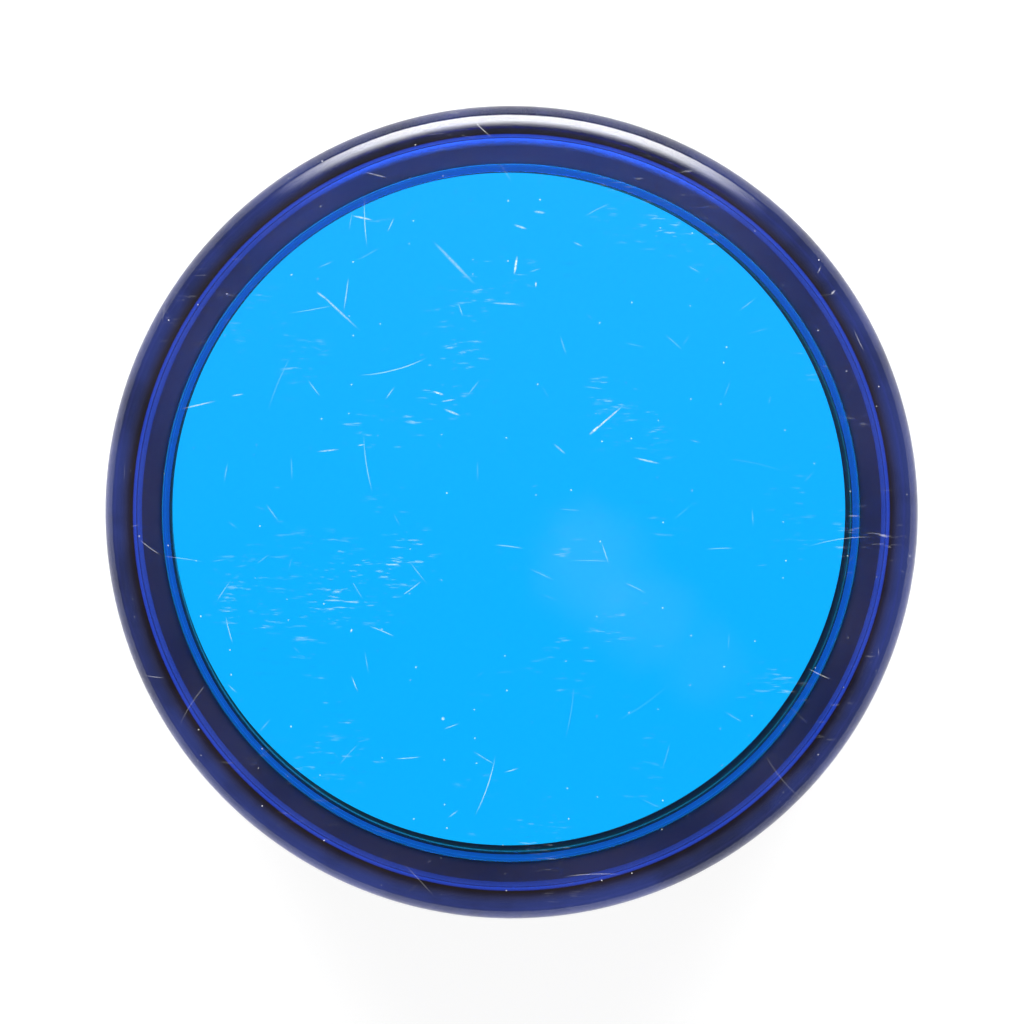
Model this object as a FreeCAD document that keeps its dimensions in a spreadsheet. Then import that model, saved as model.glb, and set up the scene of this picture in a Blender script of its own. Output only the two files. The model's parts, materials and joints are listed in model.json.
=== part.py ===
import FreeCAD, Part
import math
import os
import re
import Sketcher

# A press-top quiz buzzer: a clear cap over a coloured disc, carried on three sprung guide pins above a
# battery-powered base. Millimetres, +Z up, origin under the middle of the feet, +Y towards the speaker.

VECTOR = FreeCAD.Vector
DOC = FreeCAD.newDocument("quiz_buzzer")

# ---------------------------------------------------------------- driving dimensions

DIMENSIONS = {
    # whole object
    "overall_height": 39.0,
    "press_travel": 3.0,
    "fit_gap": 0.05,
    # new material starts this far inside the old, and cuts run this far past a face
    "bite": 0.5,
    "overrun": 1.0,
    # push cap, collar and disc
    "cap_radius": 45.0,
    "cap_wall": 3.0,
    "cap_top_thickness": 2.6,
    "cap_edge_round": 3.2,
    "cap_inner_round": 1.8,
    "cap_skirt_depth": 25.6,
    "cap_rim_chamfer": 0.5,
    "collar_radius": 38.4,
    "collar_wall": 0.7,
    "collar_depth": 3.0,
    "bead_reach": 0.55,
    "bead_height": 1.5,
    "bead_sweep": 14.0,
    "disc_radius": 37.1,
    "disc_thickness": 1.6,
    "disc_chamfer": 0.25,
    "disc_shift_x": -0.22,
    "disc_shift_y": 0.42,
    # cap carrier
    "carrier_thickness": 2.4,
    "carrier_gap": 0.4,
    "carrier_pad_radius": 36.9,
    "carrier_round": 0.6,
    "plunger_radius": 3.4,
    "window_radius": 5.2,
    "rib_thickness": 1.2,
    "rib_depth": 2.0,
    "rib_reach": 26.0,
    # guide pins, sleeves and springs
    "pin_circle": 32.5,
    "pin_radius": 2.5,
    "pin_hole_depth": 7.0,
    "pin_screw_reach": 6.5,
    "pin_screw_head_radius": 2.3,
    "sleeve_radius": 3.9,
    "sleeve_level": 15.0,
    "sleeve_rise": 3.0,
    "stop_gap": 0.1,
    "washer_radius": 3.6,
    "washer_thickness": 0.7,
    "spring_radius": 4.9,
    "spring_wire_radius": 0.35,
    "spring_clearance": 0.02,
    # base housing
    "foot_height": 1.2,
    "foot_radius": 3.5,
    "foot_recess": 0.6,
    "foot_round": 0.5,
    "foot_x": 23.8,
    "foot_y": 31.5,
    "floor_thickness": 2.4,
    "base_wall": 2.6,
    "base_bottom_round": 1.6,
    "shoulder_level": 10.0,
    "shoulder_thickness": 2.0,
    "shoulder_round": 0.8,
    "tub_radius": 41.0,
    "tub_level": 24.4,
    "tub_bore_radius": 39.0,
    "tub_ledge_radius": 38.2,
    "lip_chamfer": 0.5,
    # deck
    "deck_level": 21.0,
    "deck_thickness": 2.0,
    "deck_gap": 0.2,
    "deck_opening_radius": 8.2,
    "deck_window_radius": 3.6,
    "deck_boss_margin": 0.8,
    "deck_rib_height": 0.9,
    "deck_rib_half_width": 0.6,
    "deck_rib_reach": 26.0,
    # housing screws
    "screw_x": 12.7,
    "screw_y": 33.05,
    "boss_radius": 3.4,
    "boss_level": 12.0,
    "screw_shank_radius": 1.3,
    "screw_head_radius": 2.7,
    "screw_head_height": 1.8,
    "screw_seat_level": 6.0,
    "screw_tip_level": 18.0,
    "screw_tip_play": 0.5,
    "head_chamfer": 0.3,
    "cross_arm": 1.25,
    "cross_half_width": 0.28,
    "cross_depth": 0.9,
    # circuit board
    "board_level": 17.2,
    "board_thickness": 1.6,
    "board_radius": 27.5,
    "board_screw_circle": 23.5,
    "board_boss_radius": 2.5,
    "small_screw_radius": 1.0,
    "small_head_radius": 2.0,
    "small_head_height": 1.3,
    "board_screw_bite": 2.9,
    # contact dome and pill
    "dome_height": 4.4,
    "dome_wall": 0.6,
    "dome_flange_radius": 6.5,
    "dome_flange_thickness": 0.8,
    "dome_skirt_radius": 5.4,
    "dome_roof_radius": 3.6,
    "dome_roof_drop": 0.9,
    "dome_crown_radius": 3.2,
    "dome_mouth_radius": 4.9,
    "dome_inner_skirt_radius": 4.7,
    "dome_inner_roof_radius": 3.0,
    "dome_seat_radius": 2.7,
    "pill_radius": 2.0,
    "pill_thickness": 0.8,
    "pill_chamfer": 0.15,
    # blob-topped sound chip and the tall capacitor
    "blob_x": -13.5,
    "blob_y": -2.0,
    "blob_radius": 3.6,
    "blob_shoulder_radius": 3.3,
    "blob_shoulder_height": 0.7,
    "blob_crown_radius": 2.2,
    "blob_crown_height": 1.3,
    "blob_height": 1.5,
    "electrolytic_x": -17.0,
    "electrolytic_y": 12.0,
    "electrolytic_radius": 2.5,
    "electrolytic_length": 7.0,
    "electrolytic_round": 0.4,
    # lights
    "led_circle": 18.0,
    "led_radius": 2.5,
    "led_rim_radius": 2.9,
    "led_rim_height": 1.0,
    "led_shoulder": 0.1,
    "led_height": 8.2,
    # speaker
    "speaker_y": 17.5,
    "speaker_radius": 14.0,
    "speaker_rim_thickness": 0.8,
    "speaker_sheet": 0.6,
    "speaker_depth": 4.0,
    "magnet_radius": 7.0,
    "magnet_height": 3.4,
    "speaker_play": 0.2,
    "speaker_fence_wall": 1.2,
    "speaker_boss_radius": 2.0,
    "speaker_screw_reach": 17.2,
    "speaker_screw_length": 2.2,
    "speaker_screw_head_radius": 3.8,
    "speaker_hole_level": 2.0,
    "frame_mouth_radius": 12.6,
    "frame_step_radius": 12.4,
    "frame_back_radius": 9.4,
    "frame_inner_mouth_radius": 12.0,
    "frame_inner_back_radius": 9.0,
    "frame_lip": 0.35,
    "frame_hole_circle": 10.4,
    "frame_hole_radius": 1.3,
    "cone_edge_radius": 11.8,
    "cone_roll_outer_radius": 10.6,
    "cone_roll_inner_radius": 9.6,
    "cone_neck_radius": 6.0,
    "cone_film": 0.25,
    "cone_edge_rise": 0.05,
    "cone_roll_rise": 0.65,
    "cone_valley_rise": 0.35,
    "cone_neck_rise": 1.8,
    "cone_middle_rise": 2.6,
    "magnet_round": 0.5,
    "grille_hole_radius": 0.9,
    "grille_pitch": 3.0,
    # battery bay and cells
    "cell_radius": 5.25,
    "cell_length": 43.6,
    "cell_nub_length": 0.9,
    "cell_nub_radius": 1.9,
    "cell_level": 9.15,
    "cell_near_y": -9.0,
    "cell_far_y": -20.6,
    "bay_half_length": 24.6,
    "bay_near_y": -3.5,
    "bay_far_y": -26.1,
    "bay_wall": 1.2,
    "bay_roof_level": 14.8,
    "bay_roof_thickness": 1.2,
    "contact_thickness": 0.4,
    "contact_half_height": 3.6,
    "jumper_half_width": 9.8,
    "output_half_width": 4.2,
    "dimple_radius": 1.5,
    "tab_half_width": 1.4,
    "tab_rise": 0.6,
    "tab_slot_half_width": 1.7,
    "tab_slot_depth": 0.9,
    "contact_spring_radius": 3.0,
    "contact_wire_radius": 0.3,
    # battery door
    "door_thickness": 1.8,
    "door_gap": 0.3,
    "door_margin": 0.6,
    "door_barrel_radius": 1.2,
    "door_pin_radius": 0.7,
    "door_pin_length": 1.5,
    "door_hinge_x": -26.6,
    "door_screw_x": 30.4,
    "door_lobe_radius": 4.2,
    "door_screw_shank_radius": 1.25,
    "door_screw_reach": 3.6,
    "door_screw_play": 0.3,
    "door_screw_head_radius": 2.5,
    "door_screw_head_height": 0.8,
    "door_head_seat_radius": 2.6,
    "door_head_seat_depth": 0.9,
    "door_boss_radius": 3.1,
    "door_boss_height": 5.4,
    "door_hole_height": 4.4,
    "door_pin_play": 0.2,
    "grip_start_x": 12.0,
    "grip_pitch": 2.2,
    "grip_width": 0.9,
    "grip_half_length": 5.0,
    "grip_depth": 0.4,
    "door_pad_half_length": 8.0,
    "door_pad_margin": 2.0,
    # power switch
    "switch_level": 5.8,
    "switch_travel": 4.0,
    "switch_face_x": 43.5,
    "switch_recess_half_width": 8.0,
    "switch_recess_half_height": 2.7,
    "knob_half_width": 1.7,
    "knob_half_height": 1.3,
    "knob_rise": 1.1,
    "knob_groove_pitch": 1.0,
    "knob_groove_half_width": 0.2,
    "knob_groove_depth": 0.35,
    "switch_play": 0.25,
    "switch_rib_near_x": 37.6,
    "switch_rib_far_x": 41.6,
    "switch_rib_near_y": 4.6,
    "switch_rib_far_y": 5.8,
    "can_back_x": 37.8,
    "can_front_x": 41.2,
    "can_half_length": 4.4,
    "can_half_height": 1.9,
    "can_sheet": 0.6,
    "can_lip": 0.7,
    "slider_back_x": 38.5,
    "slider_front_x": 40.6,
    "slider_half_length": 1.5,
    "slider_half_height": 1.1,
    "stem_front_x": 42.6,
    "stem_half_length": 0.8,
    "stem_half_height": 0.7,
    # leads
    "lead_radius": 0.45,
    "lead_clearance": 0.02,
    "lead_spacing": 1.8,
    "speaker_lead_x": 2.0,
    "speaker_tab_rise": 2.6,
    "speaker_tab_reach": 13.2,
    "speaker_lead_reach": 15.0,
    "switch_lead_y": 1.6,
    "switch_joint_y": 4.2,
    "switch_joint_x": 25.2,
    "battery_joint_x": 12.0,
    "battery_joint_y": -17.5,
}

# Levels and sizes that follow from the driving dimensions.
DERIVED = {
    "base_bottom": "foot_height",
    "floor_top": "foot_height + floor_thickness",
    "cap_edge": "overall_height - cap_skirt_depth",
    "cap_bore": "cap_radius - cap_wall",
    "cap_underside": "overall_height - cap_top_thickness",
    "collar_bottom": "cap_underside - collar_depth",
    "collar_bore": "collar_radius - collar_wall",
    "disc_bottom": "cap_underside - disc_thickness",
    "carrier_bottom": "collar_bottom - carrier_thickness",
    "carrier_radius": "cap_bore - carrier_gap",
    "deck_top": "deck_level + deck_thickness",
    "deck_radius": "tub_bore_radius - deck_gap",
    "sleeve_top": "deck_top + sleeve_rise",
    "pin_end": "sleeve_level - stop_gap",
    "washer_bottom": "pin_end - washer_thickness",
    "board_top": "board_level + board_thickness",
    "dome_top": "board_top + dome_height",
    "plunger_end": "dome_top + stop_gap",
    "pill_bottom": "board_top + press_travel + stop_gap",
    "pill_top": "pill_bottom + pill_thickness",
    "bay_roof_top": "bay_roof_level + bay_roof_thickness",
    "door_top": "base_bottom + door_thickness",
    "door_middle_y": "(bay_near_y + bay_far_y) / 2",
    "door_near_y": "bay_near_y + door_margin",
    "door_far_y": "bay_far_y - door_margin",
    "door_end_x": "bay_half_length + door_margin",
    "hinge_level": "base_bottom + door_barrel_radius",
    "frame_back": "floor_top + speaker_depth",
    "knob_rest_y": "-switch_travel / 2",
    "speaker_bore": "speaker_radius + speaker_play",
    "dome_shoulder": "board_top + dome_flange_thickness",
    "dome_roof": "dome_top - dome_roof_drop",
    "board_underside": "board_level - lead_clearance",
}


def make_sheet():
    """Put the driving dimensions into a spreadsheet, one alias to a row."""
    sheet = DOC.addObject("Spreadsheet::Sheet", "dims")
    for row, (alias, number) in enumerate(DIMENSIONS.items(), start=1):
        sheet.set(f"A{row}", alias.replace("_", " "))
        sheet.set(f"B{row}", str(number))
        sheet.setAlias(f"B{row}", alias)
    DOC.recompute()
    return sheet


SHEET = make_sheet()
BEAD_COUNT = 6
DECK_RIB_COUNT = 12
DOOR_GROOVE_COUNT = 5
GRILLE_RINGS = 3
RETURN_HALF_TURNS = 9
CONTACT_HALF_TURNS = 6
TIGHT_BEND = 1.2
EASY_BEND = 1.4
WORD = re.compile(r"[a-z_]+")
EXPRESSION_WORDS = ("cos", "sin", "deg")


def formula(text):
    """Turn a formula over dimension names into an expression over the sheet's cells."""
    def spell(match):
        word = match.group(0)
        if word in EXPRESSION_WORDS:
            return word
        if word in DERIVED:
            return "(" + formula(DERIVED[word]) + ")"
        return "dims." + word
    return WORD.sub(spell, str(text))


def value(text):
    """Evaluate a formula to a number."""
    return float(SHEET.evalExpression(formula(text)))


# ---------------------------------------------------------------- places of repeated things


def around(count, circle, start_deg=0.0, centre=("0", "0")):
    """Places spaced evenly on a circle."""
    step = 360.0 / count
    angles = [start_deg + step * number for number in range(count)]
    return [(f"{centre[0]} + {circle} * cos({angle} deg)", f"{centre[1]} + {circle} * sin({angle} deg)")
            for angle in angles]


def corners(reach_x, reach_y):
    """The four corners of a rectangle about the middle."""
    return [(f"{side_x} * {reach_x}", f"{side_y} * {reach_y}") for side_x in (-1, 1) for side_y in (-1, 1)]


FEET = corners("foot_x", "foot_y")
HOUSING_SCREWS = corners("screw_x", "screw_y")
GUIDES = around(3, "pin_circle", 30.0)
LIGHTS = around(4, "led_circle", 45.0)
BOARD_SCREWS = [("0", "board_screw_circle"), ("board_screw_circle", "1"), ("-board_screw_circle", "1")]
SPEAKER_SCREWS = [("speaker_screw_reach", "speaker_y"), ("-speaker_screw_reach", "speaker_y")]
DOOR_SCREW = ("door_screw_x", "door_middle_y")
RESISTOR_PLACES = [(-6 + 3 * number, -15.5) for number in range(5)] + [(8, 20), (11, 18.5)]
CAPACITOR_PLACES = [(-18, -6), (-18, -9), (-8, 8), (8, -8)]
TRANSISTOR_PLACES = [(4, 14), (-4, 14), (14, -3)]


# ---------------------------------------------------------------- outlines


def in_order(first, second):
    """Two formulas, the lower one first."""
    return sorted((first, second), key=value)


def centred(half_x, half_y, middle_x="0", middle_y="0"):
    """A rectangle about a middle point."""
    return box(f"{middle_x} - {half_x}", f"{middle_y} - {half_y}",
               f"{middle_x} + {half_x}", f"{middle_y} + {half_y}")


def discs(places, radius):
    """Circular outlines of one radius, one at each place."""
    return [("disc", x, y, radius) for x, y in places]


def disc(radius, x="0", y="0"):
    return ("disc", x, y, radius)


def box(low_x, low_y, high_x, high_y):
    return ("polygon", [(low_x, low_y), (high_x, low_y), (high_x, high_y), (low_x, high_y)])


def crosses(places):
    """Screwdriver crosses, one at each place."""
    arm = "cross_arm"
    slot = "cross_half_width"
    quarter = [(slot, arm), (slot, slot), (arm, slot)]
    steps = []
    for sign_x, sign_y, corners_in_turn in (("-", "-", quarter[::-1]), ("+", "-", quarter),
                                            ("+", "+", quarter[::-1]), ("-", "+", quarter)):
        steps += [(f"{sign_x} {dx}", f"{sign_y} {dy}") for dx, dy in corners_in_turn]
    return [("polygon", [(f"{x} {dx}", f"{y} {dy}") for dx, dy in steps]) for x, y in places]


# ---------------------------------------------------------------- one solid piece


class Piece:
    """A PartDesign body whose sketches and features are bound to the sheet."""

    def __init__(self, label):
        self.body = DOC.addObject("PartDesign::Body", label)
        self.body.Label = label
        self.body.AllowCompound = True
        self.label = label
        self.count = 0

    def origin(self, role):
        return next(item for item in self.body.Origin.OriginFeatures if item.Role == role)

    def name(self, kind):
        self.count += 1
        return f"{self.label}_{kind}_{self.count}"

    def sketch(self, plane, offset, outlines):
        """Draw outlines on one of the body's own planes, moved along its normal."""
        sketch = self.body.newObject("Sketcher::SketchObject", self.name("sketch"))
        sketch.AttachmentSupport = [(self.origin(plane), "")]
        sketch.MapMode = "FlatFace"
        sketch.setExpression("AttachmentOffset.Base.z", formula(offset))
        for outline in outlines:
            if outline[0] == "disc":
                self.draw_disc(sketch, *outline[1:])
            else:
                self.draw_polygon(sketch, outline[1])
        DOC.recompute()
        return sketch

    def pin_point(self, sketch, geometry, vertex, point):
        """Hold a sketch point at a place given by two formulas."""
        for kind, text, axis in (("DistanceX", point[0], -2), ("DistanceY", point[1], -1)):
            number = value(text)
            if abs(number) < 1e-9:
                sketch.addConstraint(Sketcher.Constraint("PointOnObject", geometry, vertex, axis))
                continue
            index = sketch.addConstraint(Sketcher.Constraint(kind, -1, 1, geometry, vertex, number))
            sketch.setExpression(f"Constraints[{index}]", formula(text))

    def draw_disc(self, sketch, x, y, radius):
        centre = VECTOR(value(x), value(y), 0)
        circle = sketch.addGeometry(Part.Circle(centre, VECTOR(0, 0, 1), value(radius)), False)
        index = sketch.addConstraint(Sketcher.Constraint("Radius", circle, value(radius)))
        sketch.setExpression(f"Constraints[{index}]", formula(radius))
        self.pin_point(sketch, circle, 3, (x, y))

    def draw_polygon(self, sketch, points):
        places = [VECTOR(value(x), value(y), 0) for x, y in points]
        count = len(points)
        lines = [sketch.addGeometry(Part.LineSegment(places[n], places[(n + 1) % count]), False)
                 for n in range(count)]
        for n in range(count):
            sketch.addConstraint(Sketcher.Constraint("Coincident", lines[n], 2, lines[(n + 1) % count], 1))
        for line, point in zip(lines, points):
            self.pin_point(sketch, line, 1, point)

    def settle(self, feature, grows):
        """Recompute, and stop if the feature failed or changed nothing."""
        before = self.volume
        DOC.recompute()
        after = feature.Shape.Volume
        if "Invalid" in feature.State or (after - before if grows else before - after) < 1e-6:
            raise RuntimeError(f"{feature.Name} failed or changed nothing")
        return feature

    @property
    def volume(self):
        return self.body.Shape.Volume if self.body.Tip and not self.body.Shape.isNull() else 0.0

    def revolve(self, points, angle="360", x="0", y="0"):
        """Turn a (distance from axis, level) profile about an upright axis at x, y."""
        profile = [(f"{x} + {radius}", level) for radius, level in points]
        sketch = self.sketch("XZ_Plane", f"-({y})", [("polygon", profile)])
        foot = VECTOR(value(x), 0, 0)
        axis = sketch.addGeometry(Part.LineSegment(foot, foot + VECTOR(0, 1, 0)), True)
        self.pin_point(sketch, axis, 1, (x, "0"))
        self.pin_point(sketch, axis, 2, (x, "1"))
        feature = self.body.newObject("PartDesign::Revolution", self.name("turn"))
        feature.Profile = (sketch, [""])
        feature.ReferenceAxis = (sketch, ["Axis0"])
        feature.Midplane = True
        feature.setExpression("Angle", formula(angle))
        return self.settle(feature, True)

    def pad(self, low, high, outlines, plane="XY_Plane"):
        """Fill outlines from one level up to another, along the plane's normal."""
        feature = self.body.newObject("PartDesign::Pad", self.name("pad"))
        feature.Profile = (self.sketch(plane, low, outlines), [""])
        feature.setExpression("Length", formula(f"({high}) - ({low})"))
        return self.settle(feature, True)

    def cut(self, low, high, outlines, plane="XY_Plane"):
        """Remove outlines between two levels along the plane's normal."""
        feature = self.body.newObject("PartDesign::Pocket", self.name("pocket"))
        feature.Profile = (self.sketch(plane, high, outlines), [""])
        feature.setExpression("Length", formula(f"({high}) - ({low})"))
        return self.settle(feature, False)

    def around_axis(self, feature, count):
        """Repeat a feature evenly about the upright axis."""
        pattern = self.body.newObject("PartDesign::PolarPattern", self.name("pattern"))
        pattern.Originals = [feature]
        pattern.Axis = (self.origin("Z_Axis"), [""])
        pattern.Angle = 360
        pattern.Occurrences = count
        self.body.Tip = pattern
        DOC.recompute()
        return pattern

    def dress(self, kind, size, edges):
        """Round or chamfer edges of the latest feature. edges is a test on an edge."""
        base = self.body.Tip
        names = [f"Edge{n}" for n, edge in enumerate(base.Shape.Edges, start=1) if edges(edge)]
        feature = self.body.newObject(f"PartDesign::{kind}", self.name(kind.lower()))
        feature.Base = (base, names)
        feature.setExpression("Radius" if kind == "Fillet" else "Size", formula(size))
        DOC.recompute()
        if not names or "Invalid" in feature.State:
            raise RuntimeError(f"{feature.Name} failed")
        return feature


def rim(radius, level, tolerance=1e-3):
    """A test for the full circular edges of one radius at one level."""
    def matches(edge):
        curve = edge.Curve
        return (isinstance(curve, Part.Circle) and abs(curve.Radius - value(radius)) < tolerance
                and abs(curve.Center.z - value(level)) < tolerance)
    return matches


def circles_at(level, tolerance=1e-3):
    """A test for circular edges at one level."""
    def matches(edge):
        return isinstance(edge.Curve, Part.Circle) and abs(edge.Curve.Center.z - value(level)) < tolerance
    return matches


def circular(edge):
    return isinstance(edge.Curve, Part.Circle)


def upright(edge):
    """A test for straight vertical edges."""
    if not isinstance(edge.Curve, Part.Line):
        return False
    low, high = edge.Vertexes[0].Point, edge.Vertexes[-1].Point
    return math.hypot(high.x - low.x, high.y - low.y) < 1e-6


# ---------------------------------------------------------------- the button


def make_push_cap():
    cap = Piece("push_cap")
    cap.revolve([("0", "cap_underside"), ("collar_bore", "cap_underside"), ("collar_bore", "collar_bottom"),
                 ("collar_radius", "collar_bottom"), ("collar_radius", "cap_underside"),
                 ("cap_bore", "cap_underside"), ("cap_bore", "cap_edge"), ("cap_radius", "cap_edge"),
                 ("cap_radius", "overall_height"), ("0", "overall_height")])
    cap.dress("Fillet", "cap_edge_round", rim("cap_radius", "overall_height"))
    cap.dress("Fillet", "cap_inner_round", rim("cap_bore", "cap_underside"))
    cap.dress("Chamfer", "cap_rim_chamfer", rim("cap_radius", "cap_edge"))
    bead_top = "carrier_bottom - fit_gap"
    bead = cap.revolve([("cap_bore - bead_reach", f"{bead_top} - bead_reach"),
                        ("cap_bore - bead_reach", bead_top), ("cap_bore + bead_reach", bead_top),
                        ("cap_bore + bead_reach", f"{bead_top} - bead_height"),
                        ("cap_bore", f"{bead_top} - bead_height")], angle="bead_sweep")
    cap.around_axis(bead, BEAD_COUNT)


def make_diffuser_disc():
    insert = Piece("diffuser_disc")
    insert.pad("disc_bottom", "cap_underside", [disc("disc_radius", "disc_shift_x", "disc_shift_y")])
    insert.dress("Chamfer", "disc_chamfer", circular)


def make_cap_carrier():
    carrier = Piece("cap_carrier")
    carrier.revolve([("0", "carrier_bottom"), ("carrier_radius", "carrier_bottom"),
                     ("carrier_radius", "collar_bottom"), ("carrier_pad_radius", "collar_bottom"),
                     ("carrier_pad_radius", "disc_bottom"), ("0", "disc_bottom")])
    carrier.dress("Fillet", "carrier_round", rim("carrier_radius", "carrier_bottom"))
    for half_x, half_y in (("rib_reach", "rib_thickness / 2"), ("rib_thickness / 2", "rib_reach")):
        carrier.pad("carrier_bottom - rib_depth", "carrier_bottom", [centred(half_x, half_y)])
    carrier.pad("plunger_end", "carrier_bottom", [disc("plunger_radius")])
    carrier.pad("pin_end", "carrier_bottom", discs(GUIDES, "pin_radius"))
    carrier.cut("carrier_bottom - overrun", "disc_bottom + overrun", discs(LIGHTS, "window_radius"))
    carrier.cut("pin_end - overrun", "pin_end + pin_hole_depth", discs(GUIDES, "small_screw_radius"))


def make_pin_washers():
    washers = Piece("pin_washers")
    washers.pad("washer_bottom", "pin_end", discs(GUIDES, "washer_radius"))
    washers.cut("washer_bottom - overrun", "pin_end + overrun",
                discs(GUIDES, "small_screw_radius + fit_gap"))


def pan_screws(label, places, seat, reach, shank, head, head_height, downward=True):
    """Cross-head screws: heads on the outside of a seat level, shanks running the other way."""
    outward = "-" if downward else "+"
    inward = "+" if downward else "-"
    face = f"{seat} {outward} {head_height}"
    screws = Piece(label)
    screws.pad(*in_order(face, seat), discs(places, head))
    screws.dress("Chamfer", "head_chamfer", circles_at(face))
    screws.pad(*in_order(seat, f"{seat} {inward} ({reach})"), discs(places, shank))
    screws.cut(*in_order(f"{face} {outward} overrun", f"{face} {inward} cross_depth"), crosses(places))
    return screws


def make_contact_pill():
    pill = Piece("contact_pill")
    pill.pad("pill_bottom", "pill_top", [disc("pill_radius")])
    pill.dress("Chamfer", "pill_chamfer", circular)


# ---------------------------------------------------------------- the housing


def make_base_tub():
    tub = Piece("base_tub")
    under_shoulder = "shoulder_level - shoulder_thickness"
    bore = "cap_radius - base_wall"
    tub.revolve([("0", "base_bottom"), ("cap_radius", "base_bottom"), ("cap_radius", "shoulder_level"),
                 ("tub_radius", "shoulder_level"), ("tub_radius", "tub_level"),
                 ("tub_bore_radius", "tub_level"),
                 ("tub_bore_radius", "deck_level"), ("tub_ledge_radius", "deck_level"),
                 ("tub_ledge_radius", under_shoulder), (bore, under_shoulder), (bore, "floor_top"),
                 ("0", "floor_top")])
    tub.dress("Fillet", "base_bottom_round", rim("cap_radius", "base_bottom"))
    tub.dress("Fillet", "shoulder_round", rim("cap_radius", "shoulder_level"))
    tub.dress("Chamfer", "lip_chamfer", rim("tub_radius", "tub_level"))
    add_battery_bay(tub)
    add_speaker_seat(tub)
    add_housing_bosses(tub)
    add_switch_seat(tub)
    tub.cut("base_bottom - overrun", "base_bottom + foot_recess", discs(FEET, "foot_radius"))


def add_battery_bay(tub):
    """A roofed box for two cells, open below, with the door's recess, hinge slot and screw boss."""
    side = "bay_half_length + bay_wall"
    tub.pad("floor_top - bite", "bay_roof_top",
            [box(f"-({side})", "bay_far_y - bay_wall", side, "bay_near_y + bay_wall")])
    tub.cut("base_bottom - overrun", "bay_roof_level",
            [box("-bay_half_length", "bay_far_y", "bay_half_length", "bay_near_y")])
    tub.pad("floor_top - bite", "floor_top + door_boss_height", discs([DOOR_SCREW], "door_boss_radius"))
    gap = "door_gap"
    tub.cut("base_bottom - overrun", "door_top",
            [box("door_hinge_x", f"door_far_y - {gap}", f"door_end_x + {gap}", f"door_near_y + {gap}")])
    tub.cut("base_bottom - overrun", "door_top", discs([DOOR_SCREW], f"door_lobe_radius + {gap}"))
    tub.cut("base_bottom - overrun", "door_top",
            [box("door_end_x - overrun", f"door_middle_y - door_lobe_radius - {gap}", "door_screw_x",
                 f"door_middle_y + door_lobe_radius + {gap}")])
    tub.cut("base_bottom - overrun", "floor_top + door_hole_height",
            discs([DOOR_SCREW], "door_screw_shank_radius + door_screw_play"))
    tub.cut("base_bottom - overrun", "floor_top + overrun / 10",
            [box(f"door_hinge_x - door_barrel_radius - {gap}", f"door_far_y - {gap}",
                 "-bay_half_length - bite", f"door_near_y + {gap}")])
    reach = f"{gap} + door_pin_length"
    tub.cut(f"-(door_near_y + {reach})", f"-(door_far_y - {reach})",
            [disc("door_pin_radius + fit_gap", "door_hinge_x", "hinge_level")], plane="XZ_Plane")
    for y in ("cell_near_y", "cell_far_y"):
        tub.cut("bay_roof_level - overrun", "bay_roof_top + overrun",
                [box("bay_half_length - tab_slot_depth", f"{y} - tab_slot_half_width",
                     "bay_half_length", f"{y} + tab_slot_half_width")])


def add_speaker_seat(tub):
    """A low round fence, two screw bosses and the sound holes."""
    rim_top = "floor_top + speaker_rim_thickness"
    tub.pad("floor_top - bite", rim_top, [disc("speaker_bore + speaker_fence_wall", "0", "speaker_y")])
    tub.cut("floor_top", f"{rim_top} + overrun", [disc("speaker_bore", "0", "speaker_y")])
    tub.pad("floor_top - bite", rim_top, discs(SPEAKER_SCREWS, "speaker_boss_radius"))
    tub.cut("speaker_hole_level", f"{rim_top} + overrun",
            discs(SPEAKER_SCREWS, "small_screw_radius + fit_gap"))
    holes = [("0", "speaker_y")]
    for ring in range(1, GRILLE_RINGS + 1):
        holes += around(6 * ring, f"{ring} * grille_pitch", centre=("0", "speaker_y"))
    tub.cut("base_bottom - overrun", "floor_top + overrun", discs(holes, "grille_hole_radius"))


def add_housing_bosses(tub):
    tub.pad("floor_top - bite", "boss_level", discs(HOUSING_SCREWS, "boss_radius"))
    tub.cut("base_bottom - overrun", "boss_level + overrun",
            discs(HOUSING_SCREWS, "screw_shank_radius + fit_gap"))
    tub.cut("base_bottom - overrun", "screw_seat_level",
            discs(HOUSING_SCREWS, "screw_head_radius + fit_gap"))


def add_switch_seat(tub):
    """A flat recess in the rim with a slot for the knob, and two ribs that hold the switch."""
    low = "switch_level - switch_recess_half_height"
    high = "switch_level + switch_recess_half_height"
    tub.cut("switch_face_x", "cap_radius + overrun",
            [box("-switch_recess_half_width", low, "switch_recess_half_width", high)], plane="YZ_Plane")
    tub.cut("cap_radius - base_wall - 2 * overrun", "cap_radius",
            [centred("(knob_half_width + switch_travel / 2 + switch_play)",
                     "(knob_half_height + switch_play)", middle_y="switch_level")], plane="YZ_Plane")
    ribs = [in_order(f"{side} * switch_rib_near_y", f"{side} * switch_rib_far_y") for side in (-1, 1)]
    tub.pad("floor_top - bite", "shoulder_level - shoulder_thickness",
            [box("switch_rib_near_x", low_y, "switch_rib_far_x", high_y) for low_y, high_y in ribs])


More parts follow.
